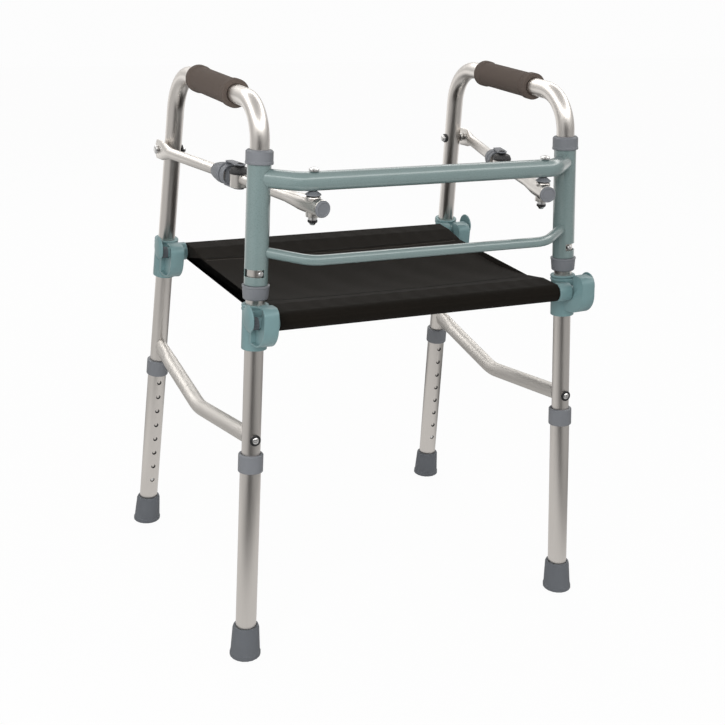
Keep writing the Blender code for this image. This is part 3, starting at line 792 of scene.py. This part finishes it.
def build_side(s, tag):
    side = side_frame(s)
    inverse = side.inverted()
    Bench.matrix = side
    rider = "side_" + tag
    legs = {"front": leg_matrix(side, s, False), "rear": leg_matrix(side, s, True)}
    stop = across_leg(legs["front"], False, SLOT_Z + SLOT_H / 2, -1)
    screws = {"front": across_leg(legs["front"], False, BRACE_Z_FRONT, -1)}
    screws["rear"] = across_leg(legs["rear"], True, BRACE_Z_REAR, 1)

    # Side frame: one bent tube with its holes
    corners = [flat(inverse @ front_axis(s, UPPER_END_Z)), flat(inverse @ front_axis(s, TOP_Z))]
    corners += [flat(inverse @ rear_axis(s, TOP_Z)), flat(inverse @ rear_axis(s, UPPER_END_Z))]
    path = fillet(corners, (FRONT_BEND, REAR_BEND), 7)
    sizes = [(UPPER_R, UPPER_R)] * len(path)
    shell = sweep(path, sizes, ACROSS, TUBE_SIDES, UPPER_R - WALL)
    tube = piece("side_tube_" + tag, *shell, "aluminium")
    holes = []
    for which, frame in legs.items():
        rear = which == "rear"
        matrix = across_leg(frame, rear, BUTTON_Z, -1 if rear else 1)
        holes.append(rod(matrix, HOLE_R, 0, 0.02))
    holes.append(rod(stop, STOP_R, 0, 0.02))
    holes += [rod(matrix, SCREW_HOLE_R, -0.02, 0.02) for matrix in screws.values()]
    cut(tube, *holes)

    # Padded hand grip on the top run
    run = (corners[2] - corners[1]).normalized()
    grip = aim(corners[1] + run * GRIP_START, run, ACROSS)
    inner = UPPER_R + GAP
    profile = [(inner, 0), (GRIP_END_R - 0.0012, 0), (GRIP_END_R, 0.0012), (GRIP_END_R, 0.0125)]
    profile += [(GRIP_R - 0.0014, 0.0137), (GRIP_R - 0.0014, 0.0160), (GRIP_R, 0.0176)]
    profile += [(GRIP_R, GRIP_LENGTH - 0.0145), (GRIP_END_R, GRIP_LENGTH - 0.0125)]
    profile += [(GRIP_END_R, GRIP_LENGTH - 0.0012), (GRIP_END_R - 0.0012, GRIP_LENGTH)]
    profile += [(inner, GRIP_LENGTH)]
    piece("grip_" + tag, *revolve(profile, 18, grip, True), "grip")

    # Stop screw that runs in the sleeve's slot
    profile = [(0.0019, 0.0095), (0.0019, UPPER_R + GAP), (0.0036, UPPER_R + GAP)]
    profile += [(0.0036, 0.0165), (0.0024, 0.0178)]
    piece("stop_screw_" + tag, *revolve(profile, 12, stop, False), "steel")

    # Lower side brace with a screw through each leg
    ends = [flat(screws["front"].translation)]
    ends.append(Vector((0, BRACE_BEND_U, height(False, BRACE_Z_BEND))))
    ends.append(flat(screws["rear"].translation))
    path = fillet(ends, (BRACE_BEND_R,), 5)
    lead = (path[-1] - path[-2]).normalized()
    path[-1:] = [path[-1] - lead * 0.062, path[-1] - lead * 0.040, path[-1]]
    sizes = [(BRACE_R, BRACE_R)] * (len(path) - 2) + [(0.0090, 0.0140), (0.0086, 0.0146)]
    brace = piece("lower_brace_" + tag, *sweep(path, sizes, UPWARD, 16), "brushed")
    cuts = []
    for which, frame in legs.items():
        low = height(which == "rear", BRACE_Z_FRONT - 0.06)
        cuts.append(rod(frame, UPPER_R + GAP, low, low + 0.12, 18))
    cut(brace, *cuts)
    cuts = []
    for where, matrix in screws.items():
        cuts.append(rod(matrix, 0.0028, -0.036, 0.0))
        profile = [(0.0023, -0.0300), (0.0023, UPPER_R + GAP), (0.0072, UPPER_R + GAP)]
        profile += [(0.0072, 0.0140), (0.0048, 0.0142), (0.0046, 0.0160), (0.0026, 0.0172)]
        name = "brace_screw_" + where + "_" + tag
        screw = piece(name, *revolve(profile, 12, matrix, False), "steel")
        crossed(screw, matrix, 0.0158, 0.0030)
        profile = [(0.0050, UPPER_R + 0.0008), (0.0078, UPPER_R + 0.0008)]
        profile += [(0.0078, 0.0149), (0.0068, 0.0158), (0.0050, 0.0158)]
        trim("washer_" + where + "_" + tag, "black", rider, revolve(profile, 12, matrix, True))
    cut(brace, *cuts)

    # Rear link: flattened outer end on the leg, straight rod, wider end under the knuckle's cup
    hub = legs["rear"] @ Vector((0, 0, height(True, LINK_REAR_Z)))
    outer = hub + Vector((s * (LINK_REAR_OUT + 0.0025), 0, 0))
    knee = inverse @ Vector((s * KNUCKLE_X, FRONT_Y + KNUCKLE_Y, KNUCKLE_Z))
    bolt = aim(hub, Vector((s, 0, 0)))
    bend = outer - BACKWARD * 0.016
    lead = (knee - bend).normalized()
    points = [outer + BACKWARD * 0.0125, outer + BACKWARD * 0.010, bend, bend + lead * 0.024]
    sizes = [(0.0022, 0.011), (0.0026, 0.0142), (0.0026, 0.0142), (LINK_R, LINK_R)]
    for back_by, radius in ((0.0300, LINK_R), (0.0026, 0.0090), (0.0022, 0.0122), (0.0, 0.0122)):
        points.append(knee - lead * (KNUCKLE_CLEAR + back_by))
        sizes.append((radius, radius))
    link = piece("rear_link_" + tag, *sweep(points, sizes, UPWARD, 14), "rod")
    cut(link, rod(bolt, 0.0035, 0.0, 0.04))
    knuckle_dress(tag, knee, lead)
    profile = [(0.0066, UPPER_R + 0.0007), (0.0066, 0.0177), (0.0030, 0.0177)]
    profile += [(0.0030, 0.0245), (0.0064, 0.0245), (0.0062, 0.0275), (0.0035, 0.0288)]
    piece("rear_bolt_" + tag, *revolve(profile, 12, bolt, False), "steel")
    profile = band(0.0030, 0.0070, -UPPER_R - 0.0022, -UPPER_R + 0.0012)
    trim("nut_washer_" + tag, "black", rider, revolve(profile, 12, bolt, True))
    profile = [(0.0022, -UPPER_R - 0.0072), (0.0046, -UPPER_R - 0.0058)]
    profile += [(0.0052, -UPPER_R - 0.0024), (0.0030, -UPPER_R - 0.0018)]
    trim("nut_" + tag, "steel", rider, revolve(profile, 12, bolt, False))

    for which, frame in legs.items():
        build_leg(side, s, which == "rear", which + "_" + tag, frame)


def build_leg(side, s, rear, label, frame):
    """Lower tube, collar, foot and snap button of one leg, and the rear leg's seat clip"""
    inverse = side.inverted()
    away = -1 if rear else 1
    low = height(rear, LOWER_BOTTOM_Z)
    high = height(rear, LOWER_TOP_Z)
    inner = LOWER_R - LOWER_WALL
    profile = [(LOWER_R, low), (LOWER_R, high), (inner, high), (inner, low)]
    leg = piece("lower_leg_" + label, *revolve(profile, TUBE_SIDES, frame, True), "aluminium")
    spots = [across_leg(frame, rear, BUTTON_Z, away, k * HOLE_PITCH) for k in range(HOLE_COUNT)]
    cut(leg, *(rod(spot, HOLE_R, 0.004, 0.02, RIM_SIDES) for spot in spots))
    # Painted shade in each hole above the button: dark crescents that stand for the shade inside
    # the shallow holes
    hole_shades = []
    for spot in spots[1:]:
        rise = spot.inverted().to_3x3() @ frame.to_3x3() @ Vector((0, 0, 0.0006))
        hole_shades.append(painted_hole_shade(spot, rise))
    trim("hole_shade_" + label, "black", "leg_" + label, joined(hole_shades), "aluminium")

    base = height(rear, COLLAR_Z)
    step = high + GAP
    top = base + COLLAR_H
    profile = [(LOWER_R + GAP, base), (COLLAR_R - 0.0006, base), (COLLAR_R, base + 0.0006)]
    profile += [(COLLAR_R, top - 0.0014), (COLLAR_R - 0.0012, top), (0.0131, top)]
    profile += [(0.0131, step), (LOWER_R + GAP, step)]
    piece("collar_" + label, *revolve(profile, 18, frame, True), "plastic")

    lean = rear_axis if rear else front_axis
    rows = [(FOOT_R - 0.0012, 0.0), (FOOT_R, 0.0012), (FOOT_R, 0.0062)]
    rows += [(FOOT_R - 0.0010, 0.0076), (FOOT_TOP_R, FOOT_H - 0.003)]
    rows += [(FOOT_TOP_R - 0.0012, FOOT_H), (LOWER_R + 0.0006, FOOT_H)]
    rows += [(LOWER_R + 0.0006, 0.0100)]
    turn = inverse.to_3x3()
    verts, faces = [], []
    for row, (radius, z) in enumerate(rows):
        centre = inverse @ lean(s, z)
        verts += circle(centre, turn @ ACROSS, turn @ BACKWARD, radius, radius, FOOT_SIDES)
        if row:
            faces += ring_faces((row - 1) * FOOT_SIDES, row * FOOT_SIDES, FOOT_SIDES)
    last = (len(rows) - 1) * FOOT_SIDES
    faces += [tuple(range(FOOT_SIDES)), tuple(range(last, last + FOOT_SIDES))]
    piece("foot_" + label, verts, faces, "rubber")

    profile = [(0.0048, 0.0082), (0.0048, 0.0098), (BUTTON_R, 0.0098)]
    profile += [(BUTTON_R, 0.0118), (BUTTON_R - 0.0006, 0.0126)]
    piece("button_" + label, *revolve(profile, 12, spots[0], False), "steel")

    if rear:
        seat_at = (side @ frame).inverted() @ seat_point(rear_axis, s)
        clip("clip_" + label, s, frame, seat_at, UPPER_R + 0.0003)


def knuckle_dress(tag, knee, lead):
    """Moulded cup, a black band painted as the shade in the gap, collar ring and eyed tongues at
    the knuckle end of the rear link
    """
    away = aim(knee, -lead)
    body = "rear_link_" + tag
    near = KNUCKLE_CLEAR + 0.0032
    profile = [(LINK_R - 0.0010, near + 0.0262), (LINK_R + 0.0010, near + 0.0262)]
    profile += [(0.0104, near + 0.0246), (0.0128, near + 0.0170), (0.0148, near + 0.0080)]
    profile += [(0.0152, near + 0.0020), (0.0146, near), (LINK_R - 0.0010, near)]
    trim("knuckle_cup_" + tag, "plastic", body, revolve(profile, 20, away, True))
    # Painted shade: a black band where the gap between the cup and the collar ring lies in shade
    profile = band(0.0060, 0.0126, near - 0.0024, near + 0.0002)
    trim("knuckle_gap_shade_" + tag, "black", body, revolve(profile, 16, away, True))
    face = KNUCKLE_CLEAR - 0.0080
    profile = [(0.0130, near - 0.0026), (0.0144, near - 0.0026), (0.0150, near - 0.0034)]
    profile += [(0.0150, face + 0.0008), (0.0144, face), (0.0130, face)]
    trim("knuckle_ring_" + tag, "plastic", body, revolve(profile, 24, away, True))
    across = UPWARD.cross(lead).normalized()
    rise = lead.cross(across).normalized()
    outline = [(KNUCKLE_CLEAR, TONGUE_HALF), (KNUCKLE_CLEAR, -TONGUE_HALF)]
    for k in range(13):
        a = math.radians(-90 - 15 * k)
        outline.append((TONGUE_R * math.cos(a), TONGUE_R * math.sin(a)))

    def place(d, a, b):
        return knee - lead * a + across * b + rise * d

    shell = prism(outline, -0.0152, -0.0134, place)
    fork = trim("clevis_" + tag, "plastic", body, shell)
    unite(fork, prism(outline, 0.0180, 0.0197, place))
    web = [(KNUCKLE_CLEAR + 0.0004, 0.0052), (KNUCKLE_CLEAR + 0.0004, -0.0052)]
    web += [(KNUCKLE_CLEAR - 0.0016, -0.0052), (KNUCKLE_CLEAR - 0.0016, 0.0052)]
    unite(fork, prism(web, -0.0144, 0.0189, place))
    cut(fork, rod(aim(knee, rise), 0.0048, 0.010, 0.030, 16))
    rounded(fork, 0.0005, 40)
    profile = [(0.0064, 0.0171), (0.0064, 0.0182), (0.0030, 0.0182)]
    profile += [(0.0030, 0.0204), (0.0020, 0.0210)]
    trim("clevis_pin_" + tag, "black", body, revolve(profile, 16, aim(knee, rise), False), "steel")


def build_front():
    """Cross bars, sleeves, bushings, front clips and brace pivots, and the front links on them"""
    fronts = {1: side_frame(1), -1: side_frame(-1)}

    def bar(name, radius, y, z, rise, half, bend):
        bore = radius - WALL
        ends = [front_axis(-1, z + rise), Vector((-half, FRONT_Y + y, z))]
        ends += [Vector((half, FRONT_Y + y, z)), front_axis(1, z + rise)]
        path = fillet(ends, (bend, bend), 8)
        shell = sweep(path, [(radius, radius)] * len(path), UPWARD, TUBE_SIDES, bore)
        made = piece(name, *shell, "frame")
        cuts = [rod(f, SLEEVE_R + GAP, z - 0.05, z + 0.05, 18) for f in fronts.values()]
        cut(made, *cuts)
        return made

    upper = bar(
        "upper_cross_bar", UPPER_BAR_R, UPPER_BAR_Y, UPPER_BAR_Z, 0.0, UPPER_BAR_HALF,
        UPPER_BAR_BEND,
    )
    bar(
        "lower_cross_bar", LOWER_BAR_R, LOWER_BAR_Y, LOWER_BAR_Z, LOWER_BAR_RISE, LOWER_BAR_HALF,
        LOWER_BAR_BEND,
    )
    posts = {s: Matrix.Translation((s * PIVOT_X, FRONT_Y + UPPER_BAR_Y, 0)) for s in fronts}
    cuts = [rod(p, EYE_R, UPPER_BAR_Z - 0.03, UPPER_BAR_Z + 0.03) for p in posts.values()]
    cut(upper, *cuts)

    for s, tag in HANDS:
        build_front_half(s, tag, fronts[s], posts[s])


def build_front_half(s, tag, frame, post):
    """Sleeve, bushings, front clip, brace pivot and front link of one side"""
    low = height(False, SLEEVE_Z)
    top = height(False, SLEEVE_TOP)
    profile = band(SLEEVE_BORE, SLEEVE_R, low, top)
    sleeve = piece("sleeve_" + tag, *revolve(profile, 18, frame, True), "frame")
    a0 = -math.pi / 2 - s * SLOT_INWARD
    a1 = -math.pi / 2 + s * SLOT_OUTWARD
    base = height(False, SLOT_Z)
    verts, faces = sector(0.010, 0.02, base, base + SLOT_H, a0, a1, 12)
    cut(sleeve, ([frame @ v for v in verts], faces))

    bore = UPPER_R + GAP
    stem = SLEEVE_BORE - GAP
    end = height(False, BUSH_TOP)
    profile = [(bore, top - 0.016), (stem, top - 0.016), (stem, top + GAP)]
    profile += [(BUSH_R + 0.0004, top + GAP), (BUSH_R + 0.0004, top + 0.0035)]
    profile += [(BUSH_R, top + 0.0040), (BUSH_R, end - 0.0022)]
    profile += [(BUSH_R - 0.0022, end), (bore, end)]
    piece("bushing_top_" + tag, *revolve(profile, 18, frame, True), "plastic")
    end = height(False, BUSH_BOTTOM)
    profile = [(bore, low + 0.0085), (stem, low + 0.0085), (stem, low - GAP)]
    profile += [(BUSH_R + 0.0003, low - GAP), (BUSH_R + 0.0003, low - 0.0030)]
    profile += [(BUSH_R - 0.0003, low - 0.0036), (BUSH_R - 0.0014, end + 0.0012)]
    profile += [(BUSH_R - 0.0026, end), (bore, end)]
    piece("bushing_bottom_" + tag, *revolve(profile, 18, frame, True), "plastic")

    seat_at = frame.inverted() @ seat_point(front_axis, s)
    clip("clip_front_" + tag, s, frame, seat_at, UPPER_R + GAP)

    # Pivot of the folding brace: bolt from above, cone below the bar
    under = UPPER_BAR_Z - UPPER_BAR_R
    under_boss = LINK_Z - BOSS_DOWN - 0.0004
    profile = [(0.0030, under_boss - 0.0105), (0.0046, under_boss - 0.0080)]
    profile += [(0.0060, under_boss - 0.0070), (0.0060, under_boss), (0.0028, under_boss)]
    dark = [(0.0050, under_boss - 0.0074), (0.0064, under_boss - 0.0068)]
    dark += [(0.0064, under_boss - 0.0036), (0.0050, under_boss - 0.0034)]
    trim("nut_ring_" + tag, "black", "front_frame", revolve(dark, 14, post, True))
    crown = UPPER_BAR_Z + UPPER_BAR_R
    profile += [(0.0028, crown + 0.0008), (0.0068, crown + 0.0008)]
    profile += [(0.0066, crown + 0.0034), (0.0030, crown + 0.0052)]
    piece("pivot_bolt_" + tag, *revolve(profile, 12, post, False), "steel")
    base = LINK_Z + LINK_END_R + 0.0022
    profile = [(EYE_R, base), (0.0098, base), (0.0106, base + 0.0006)]
    profile += [(0.0104, base + 0.0014), (0.0048, under - 0.0002), (EYE_R, under - 0.0002)]
    piece("pivot_spacer_" + tag, *revolve(profile, 14, post, True), "plastic")
    # Painted shade: a thin black band in the gap between the spacer and the saddle, where shade
    # falls
    profile = band(EYE_R, 0.0080, base - 0.0014, base)
    trim("gap_shade_" + tag, "black", "front_frame", revolve(profile, 14, post, True))
    profile = [(EYE_R, LINK_Z + 0.0070), (0.0098, LINK_Z + 0.0070), (0.0102, base - 0.0034)]
    profile += [(0.0094, base - 0.0016), (EYE_R, base - 0.0016)]
    trim("saddle_" + tag, "aluminium", "front_link_" + tag, revolve(profile, 14, post, True))

    # Front link: rod with a plugged front end, eye at the pivot and domed knuckle end
    pivot = Vector((s * PIVOT_X, FRONT_Y + UPPER_BAR_Y, LINK_Z))
    knee = Vector((s * KNUCKLE_X, FRONT_Y + KNUCKLE_Y, KNUCKLE_Z))
    lead = (knee - pivot).normalized()
    nose = pivot - lead * 0.0205
    thick = LINK_END_R
    taper = [(0.0, thick - 0.0010), (0.0010, thick), (0.0440, thick - 0.0004)]
    taper += [(0.0620, 0.0094), (0.0800, LINK_R)]
    points = [nose + lead * back_by for back_by, radius in taper] + [knee]
    sizes = [(radius, radius) for back_by, radius in taper] + [(LINK_R, LINK_R)]
    link = piece("front_link_" + tag, *sweep(points, sizes, UPWARD, 14), "rod")
    base = LINK_Z - LINK_R
    cut(link, rod(post, EYE_R, base - 0.01, base + 0.03))
    unite(link, revolve(band(EYE_R, BOSS_R, LINK_Z - BOSS_DOWN, LINK_Z), 14, post, True))
    front = aim(nose, -lead)
    profile = [(0.0086, -0.0010), (0.0108, -0.0010), (0.0112, -0.0002), (0.0110, 0.0022)]
    profile += [(0.0104, 0.0030), (0.0086, 0.0032), (0.0082, 0.0020), (0.0010, 0.0022)]
    trim("plug_" + tag, "plastic", "front_link_" + tag, revolve(profile, 16, front, False))
    hub = Matrix.Translation((knee.x, knee.y, 0))
    low = KNUCKLE_Z - 0.0125
    profile = [(KNUCKLE_R - 0.0010, low), (KNUCKLE_R, low + 0.0010)]
    profile += [(KNUCKLE_R, KNUCKLE_TOP - 0.0070), (KNUCKLE_R * 0.86, KNUCKLE_TOP - 0.0028)]
    profile += [(KNUCKLE_R * 0.55, KNUCKLE_TOP - 0.0006), (KNUCKLE_R * 0.2, KNUCKLE_TOP)]
    unite(link, revolve(profile, 16, hub, False))
    over = KNUCKLE_TOP + 0.0004
    profile = [(KNUCKLE_R - 0.0010, over - 0.0098), (KNUCKLE_R + 0.0006, over - 0.0098)]
    profile += [(KNUCKLE_R + 0.0006, over - 0.0070), (KNUCKLE_R * 0.88, over - 0.0022)]
    profile += [(KNUCKLE_R * 0.56, over), (0.0012, over + 0.0002), (0.0012, over - 0.0030)]
    trim("hub_cover_" + tag, "black", "front_link_" + tag, revolve(profile, 16, hub, True))


def build_seat():
    """Two cross tubes in hooks with a hemmed sling between them"""
    ends = []
    inner = SEAT_TUBE_R - SEAT_TUBE_WALL
    spans = (("front", front_axis, CLOTH_FRONT), ("rear", rear_axis, CLOTH_REAR))
    for which, axis, span in spans:
        at = seat_point(axis, 1)
        ends.append(at.y)
        half = at.x - 0.0125
        matrix = aim(Vector((0, at.y, SEAT_Z)), ACROSS)
        profile = [(SEAT_TUBE_R, -half), (SEAT_TUBE_R, half), (inner, half), (inner, -half)]
        piece("seat_tube_" + which, *revolve(profile, 16, matrix, True), "aluminium")
        for s, tag in HANDS:
            seat_cap(which + "_" + tag, s, at, span)
    build_sling(*ends)


def seat_cap(label, s, at, span):
    """Moulded end of a seat tube: plug, step, neck with a dark band painted as the shade in the
    hook's slot, and outer disc
    """
    matrix = aim(Vector((s * at.x, at.y, SEAT_Z)), Vector((s, 0, 0)))
    cavity = SEAT_TUBE_R + GAP
    plug = SEAT_TUBE_R - SEAT_TUBE_WALL - GAP
    lip = span[1] + s * span[0] - at.x + 0.0004
    profile = [(plug, -0.042), (plug, -0.0121), (cavity, -0.0121), (cavity, lip)]
    profile += [(CAP_R - 0.0005, lip), (CAP_R, lip + 0.0005), (CAP_R, -0.0108)]
    profile += [(CAP_STEP_R, -0.0108), (CAP_STEP_R, -HOOK_INWARD - 0.0008)]
    profile += [(NECK_R, -HOOK_INWARD - 0.0008), (NECK_R, DISC_IN + 0.0010)]
    cap = piece("seat_cap_" + label, *revolve(profile, 16, matrix, False), "clip")
    # Painted shade: a dark sleeve on the neck where it lies in shade between the hook and the disc
    profile = band(NECK_R, NECK_R + 0.0005, 0.0078, DISC_IN + 0.0004)
    trim("neck_shade_band_" + label, "rubber", "seat", revolve(profile, 16, matrix, True))
    middle = Vector((s * at.x, at.y - DISC_AHEAD, SEAT_Z + DISC_UP))
    profile = [(DISC_R - 0.0008, DISC_IN), (DISC_R, DISC_IN + 0.0008)]
    profile += [(DISC_R - 0.0006, DISC_IN + 0.0022), (DISC_R * 0.75, DISC_IN + 0.0046)]
    profile += [(DISC_R * 0.35, DISC_IN + 0.0060)]
    unite(cap, revolve(profile, 16, aim(middle, Vector((s, 0, 0))), False))


def cloth_span(y, front, rear):
    """Middle and half width of the cloth at a place between the tubes"""
    f = (y - front) / (rear - front)
    return [a + (b - a) * f for a, b in zip(CLOTH_FRONT, CLOTH_REAR)]


def sling_lift(x, y, front, rear):
    """How far the cloth's top stands from the flat sheet between the tubes"""
    f = min(max((y - front - 0.034) / (rear - front - 0.068), 0.0), 1.0)
    middle, half = cloth_span(y, front, rear)
    g = (x - middle) / half
    sag = FABRIC_SAG * 4 * f * (1 - f) * (1 - 0.22 * g * g)
    pull = math.sin(x * 95 + 7 * f) * math.sin(math.pi * f) * 0.0005
    gather = math.sin(x * 210 + 2.0) * math.exp(-(min(f, 1 - f) * 9) ** 2) * 0.0003
    corner = abs(g) ** 6 * math.sin(math.pi * f) * 0.0022
    seam = 0.0
    for at in (front + HEM, rear - HEM):
        seam -= SEAM_SINK * math.exp(-(((y - at) / SEAM_HALF) ** 2))
        if (y - at) * (at - (front + rear) / 2) > 0:
            seam += HEM_STEP
    return pull + gather + corner + seam - sag


def build_sling(front, rear):
    """Cloth with loops round both tubes, hems stitched down, a gentle sag and small pulls"""
    radius = FABRIC_BAND_R
    span = rear - front
    rows = 40 * FINE
    bend = 8 * FINE
    top = radius - 0.0006
    bottom = radius - FABRIC_T - 0.0006

    def loop(y, start):
        turns = [math.radians(start + 180 * k / bend) for k in range(bend + 1)]
        return [(y + radius * math.cos(a), radius * math.sin(a), 0) for a in turns]

    hem = []
    for k in range(1, 6):
        f = k / 6
        hem.append((HEM * f, -radius + (bottom + radius) * f**0.92, f * 0.5))
    outline = loop(front, 90) + [(front + y, z, weight) for y, z, weight in hem]
    for k in range(rows + 1):
        y = front + HEM + (span - 2 * HEM) * k / rows
        outline.append((y, bottom, 1))
    outline += [(rear - y, z, weight) for y, z, weight in reversed(hem)] + loop(rear, -90)
    edge = 0.004
    for k in range(rows + 1):
        y = rear - edge - (span - 2 * edge) * k / rows
        outline.append((y, top, 1))
    verts, faces = [], []
    count = len(outline)
    for c in range(SLING_COLUMNS + 1):
        g = -1 + 2 * c / SLING_COLUMNS
        for y, z, weight in outline:
            f = min(max((y - front) / span, 0.0), 1.0)
            middle, half = cloth_span(y, front, rear)
            x = middle + g * half * (1 - 0.016 * math.sin(math.pi * f))
            lift = sling_lift(x, y, front, rear) * weight
            verts.append(Vector((x, y, SEAT_Z + z + lift)))
    for c in range(SLING_COLUMNS):
        faces += ring_faces(c * count, (c + 1) * count, count)
    last = SLING_COLUMNS * count
    faces += [tuple(range(count)), tuple(range(last, last + count))]
    sling = piece("seat_sling", verts, faces, "fabric")
    for y in (front, rear):
        matrix = aim(Vector((0, y, SEAT_Z)), ACROSS)
        cut(sling, rod(matrix, SEAT_TUBE_R + GAP, -FOOT_X_REAR, FOOT_X_REAR, 16))
    rounded(sling, 0.0005, 50)
    rows = [(front + HEM, "edging"), (front + HEM - 0.006, "thread")]
    rows += [(rear - HEM, "edging"), (rear - HEM + 0.006, "thread")]
    for row, (y, look) in enumerate(rows):
        stitches("seam_%d" % row, y, front, rear, look)


def stitches(name, y, front, rear, look):
    """One row of thread stitches laid along a seam by repeated instances"""
    middle, half = cloth_span(y, front, rear)
    half -= 0.007
    verts = []
    for k in range(int(2 * half / STITCH_PITCH)):
        x = middle - half + STITCH_PITCH * (k + 0.5)
        verts.append((x, y, SEAT_Z + FABRIC_BAND_R - 0.0005 + sling_lift(x, y, front, rear)))
    mesh = bpy.data.meshes.new(name)
    mesh.from_pydata(verts, [], [])
    made = placed(name, mesh)
    tree = bpy.data.node_groups.new(name + "_nodes", "GeometryNodeTree")
    for way in ("INPUT", "OUTPUT"):
        tree.interface.new_socket("Geometry", in_out=way, socket_type="NodeSocketGeometry")
    nodes = tree.nodes
    start = nodes.new("NodeGroupInput")
    end = nodes.new("NodeGroupOutput")
    thread = nodes.new("GeometryNodeMeshUVSphere")
    thread.inputs["Segments"].default_value = 8
    thread.inputs["Rings"].default_value = 6
    thread.inputs["Radius"].default_value = 0.5
    lay = nodes.new("GeometryNodeInstanceOnPoints")
    lay.inputs["Scale"].default_value = STITCH_SIZE
    real = nodes.new("GeometryNodeRealizeInstances")
    paint = nodes.new("GeometryNodeSetMaterial")
    paint.inputs["Material"].default_value = LOOKS[look]
    tree.links.new(start.outputs[0], lay.inputs["Points"])
    tree.links.new(thread.outputs["Mesh"], lay.inputs["Instance"])
    tree.links.new(lay.outputs[0], real.inputs[0])
    tree.links.new(real.outputs[0], paint.inputs["Geometry"])
    tree.links.new(paint.outputs[0], end.inputs[0])
    modifier = made.modifiers.new("stitches", "NODES")
    modifier.node_group = tree
    baked(made)
    extra(made, "seat", "fabric")


def side_light(look, at, reach):
    """Brightness of the surroundings in the tubes: dim, but for the left, the right and behind"""
    level = look.vector("DOT_PRODUCT", at, tuple(VIEW_RIGHT))
    depth = look.vector("DOT_PRODUCT", at, tuple(VIEW_BACK))
    left = look.ramp(level, -0.62 * reach, -0.28 * reach, 0.50, 0.0)
    right = look.ramp(level, 0.30 * reach, 0.62 * reach, 0.0, 0.34)
    behind = look.ramp(depth, -0.95 * reach, -0.45 * reach, 0.55, 0.0)
    return left + right + behind + 0.085


def studio():
    """Pale floor, white backdrop for the camera, and surroundings that the metal mirrors"""
    scene = bpy.context.scene
    scene.view_settings.view_transform = "Standard"
    world = bpy.data.worlds.new("surround")
    scene.world = world
    world.use_nodes = True
    sky = Nodes(world.node_tree)
    soft = sky.tree.nodes["Background"]
    coords = sky.node("TexCoord", "Generated")
    split = sky.node("SeparateXYZ", "Z", Vector=coords)
    above = sky.ramp(split, 0.1, 0.6, 0.0, 0.55, "LINEAR")
    seen = sky.node("LightPath", "Is Glossy Ray")
    strip = sky.ramp(split, 0.50, 0.58, 0.0, 1.0, "LINEAR")
    fade = sky.ramp(split, 0.66, 0.74, 0.0, 1.0, "LINEAR")
    mirrored = side_light(sky, coords, 1.0) + above + (strip - fade) * 3.5
    sky.feed(soft.inputs["Strength"], seen * mirrored + (1 - seen) * 0.54)
    sky.feed(soft.inputs["Color"], WARM)
    white = sky.node("Background", Color=(0.98, 0.98, 0.98))
    camera_ray = sky.node("LightPath", "Is Camera Ray")
    whole = sky.blend(camera_ray, Value(sky, soft.outputs[0]), white)
    sky.feed(sky.tree.nodes["World Output"].inputs["Surface"], whole)

    mesh = bpy.data.meshes.new("floor")
    half = 6.0
    corners = [(-half, -half), (half, -half), (half, half), (-half, half)]
    mesh.from_pydata([(x, y, -0.0006) for x, y in corners], [], [(0, 1, 2, 3)])
    floor = placed("floor", mesh)
    look = Look("floor")
    look.finish(Base_Color=(0.86, 0.86, 0.86), Roughness=0.9)
    glow = look.node("Emission", Color=(1, 1, 1))
    camera_ray = look.node("LightPath", "Is Camera Ray")
    plain = look.blend(camera_ray * 0.95, Value(look, look.shader.outputs[0]), glow)
    # Painted reflection: in the metal the floor glows, brighter near the walker and to the left,
    # right and behind, though it is no lamp
    place = look.node("TexCoord", "Object")
    middle = look.vector("ADD", place, (0.12, 0.04, 0.0), "Vector")
    near = look.ramp(look.vector("LENGTH", middle, (0.0, 0.0, 0.0)), 0.45, 0.95, 0.62, 0.0)
    strength = side_light(look, place, 1.6) + near
    mirrored = look.node("Emission", Color=WARM, Strength=strength)
    glossy_ray = look.node("LightPath", "Is Glossy Ray")
    whole = look.blend(glossy_ray, plain, mirrored)
    look.feed(look.tree.nodes["Material Output"].inputs["Surface"], whole)
    mesh.materials.append(look.material)

    for name, at, size, power in LAMPS:
        lamp = bpy.data.lights.new(name, "AREA")
        lamp.size = size
        lamp.energy = power
        holder = placed(name, lamp)
        holder.visible_glossy = False
        holder.matrix_world = aim(Vector(at), Vector(at) - Vector((0, 0, 0.4)))


def photo_camera():
    """The camera that the photo was taken with"""
    data = bpy.data.cameras.new("photo")
    data.sensor_width = 36.0
    data.lens = VIEW_LENS
    data.shift_x, data.shift_y = VIEW_SHIFT
    data.clip_start = 0.05
    camera = placed("photo", data)
    right = VIEW_RIGHT
    back = (VIEW_BACK - right * VIEW_BACK.dot(right)).normalized()
    camera.matrix_world = axes(right, back.cross(right), back, VIEW_FROM)
    bpy.context.scene.camera = camera


def dress():
    """Each piece takes its node's place and body"""
    bodies = frame["record"]["behaviour"]["bodies"]
    home = {node: body for body, nodes in bodies.items() for node in nodes}
    for node, made in Bench.made.items():
        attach(made, home[node])
        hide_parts(node)
    for made, body, slot in Bench.extras:
        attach(made, body)


build_front()
for sign, word in HANDS:
    build_side(sign, word)
Bench.matrix = Matrix.Identity(4)
build_seat()
dress()
seams = [made for made, body, slot in Bench.extras if made.name.startswith("seam_")]
studio()
photo_camera()
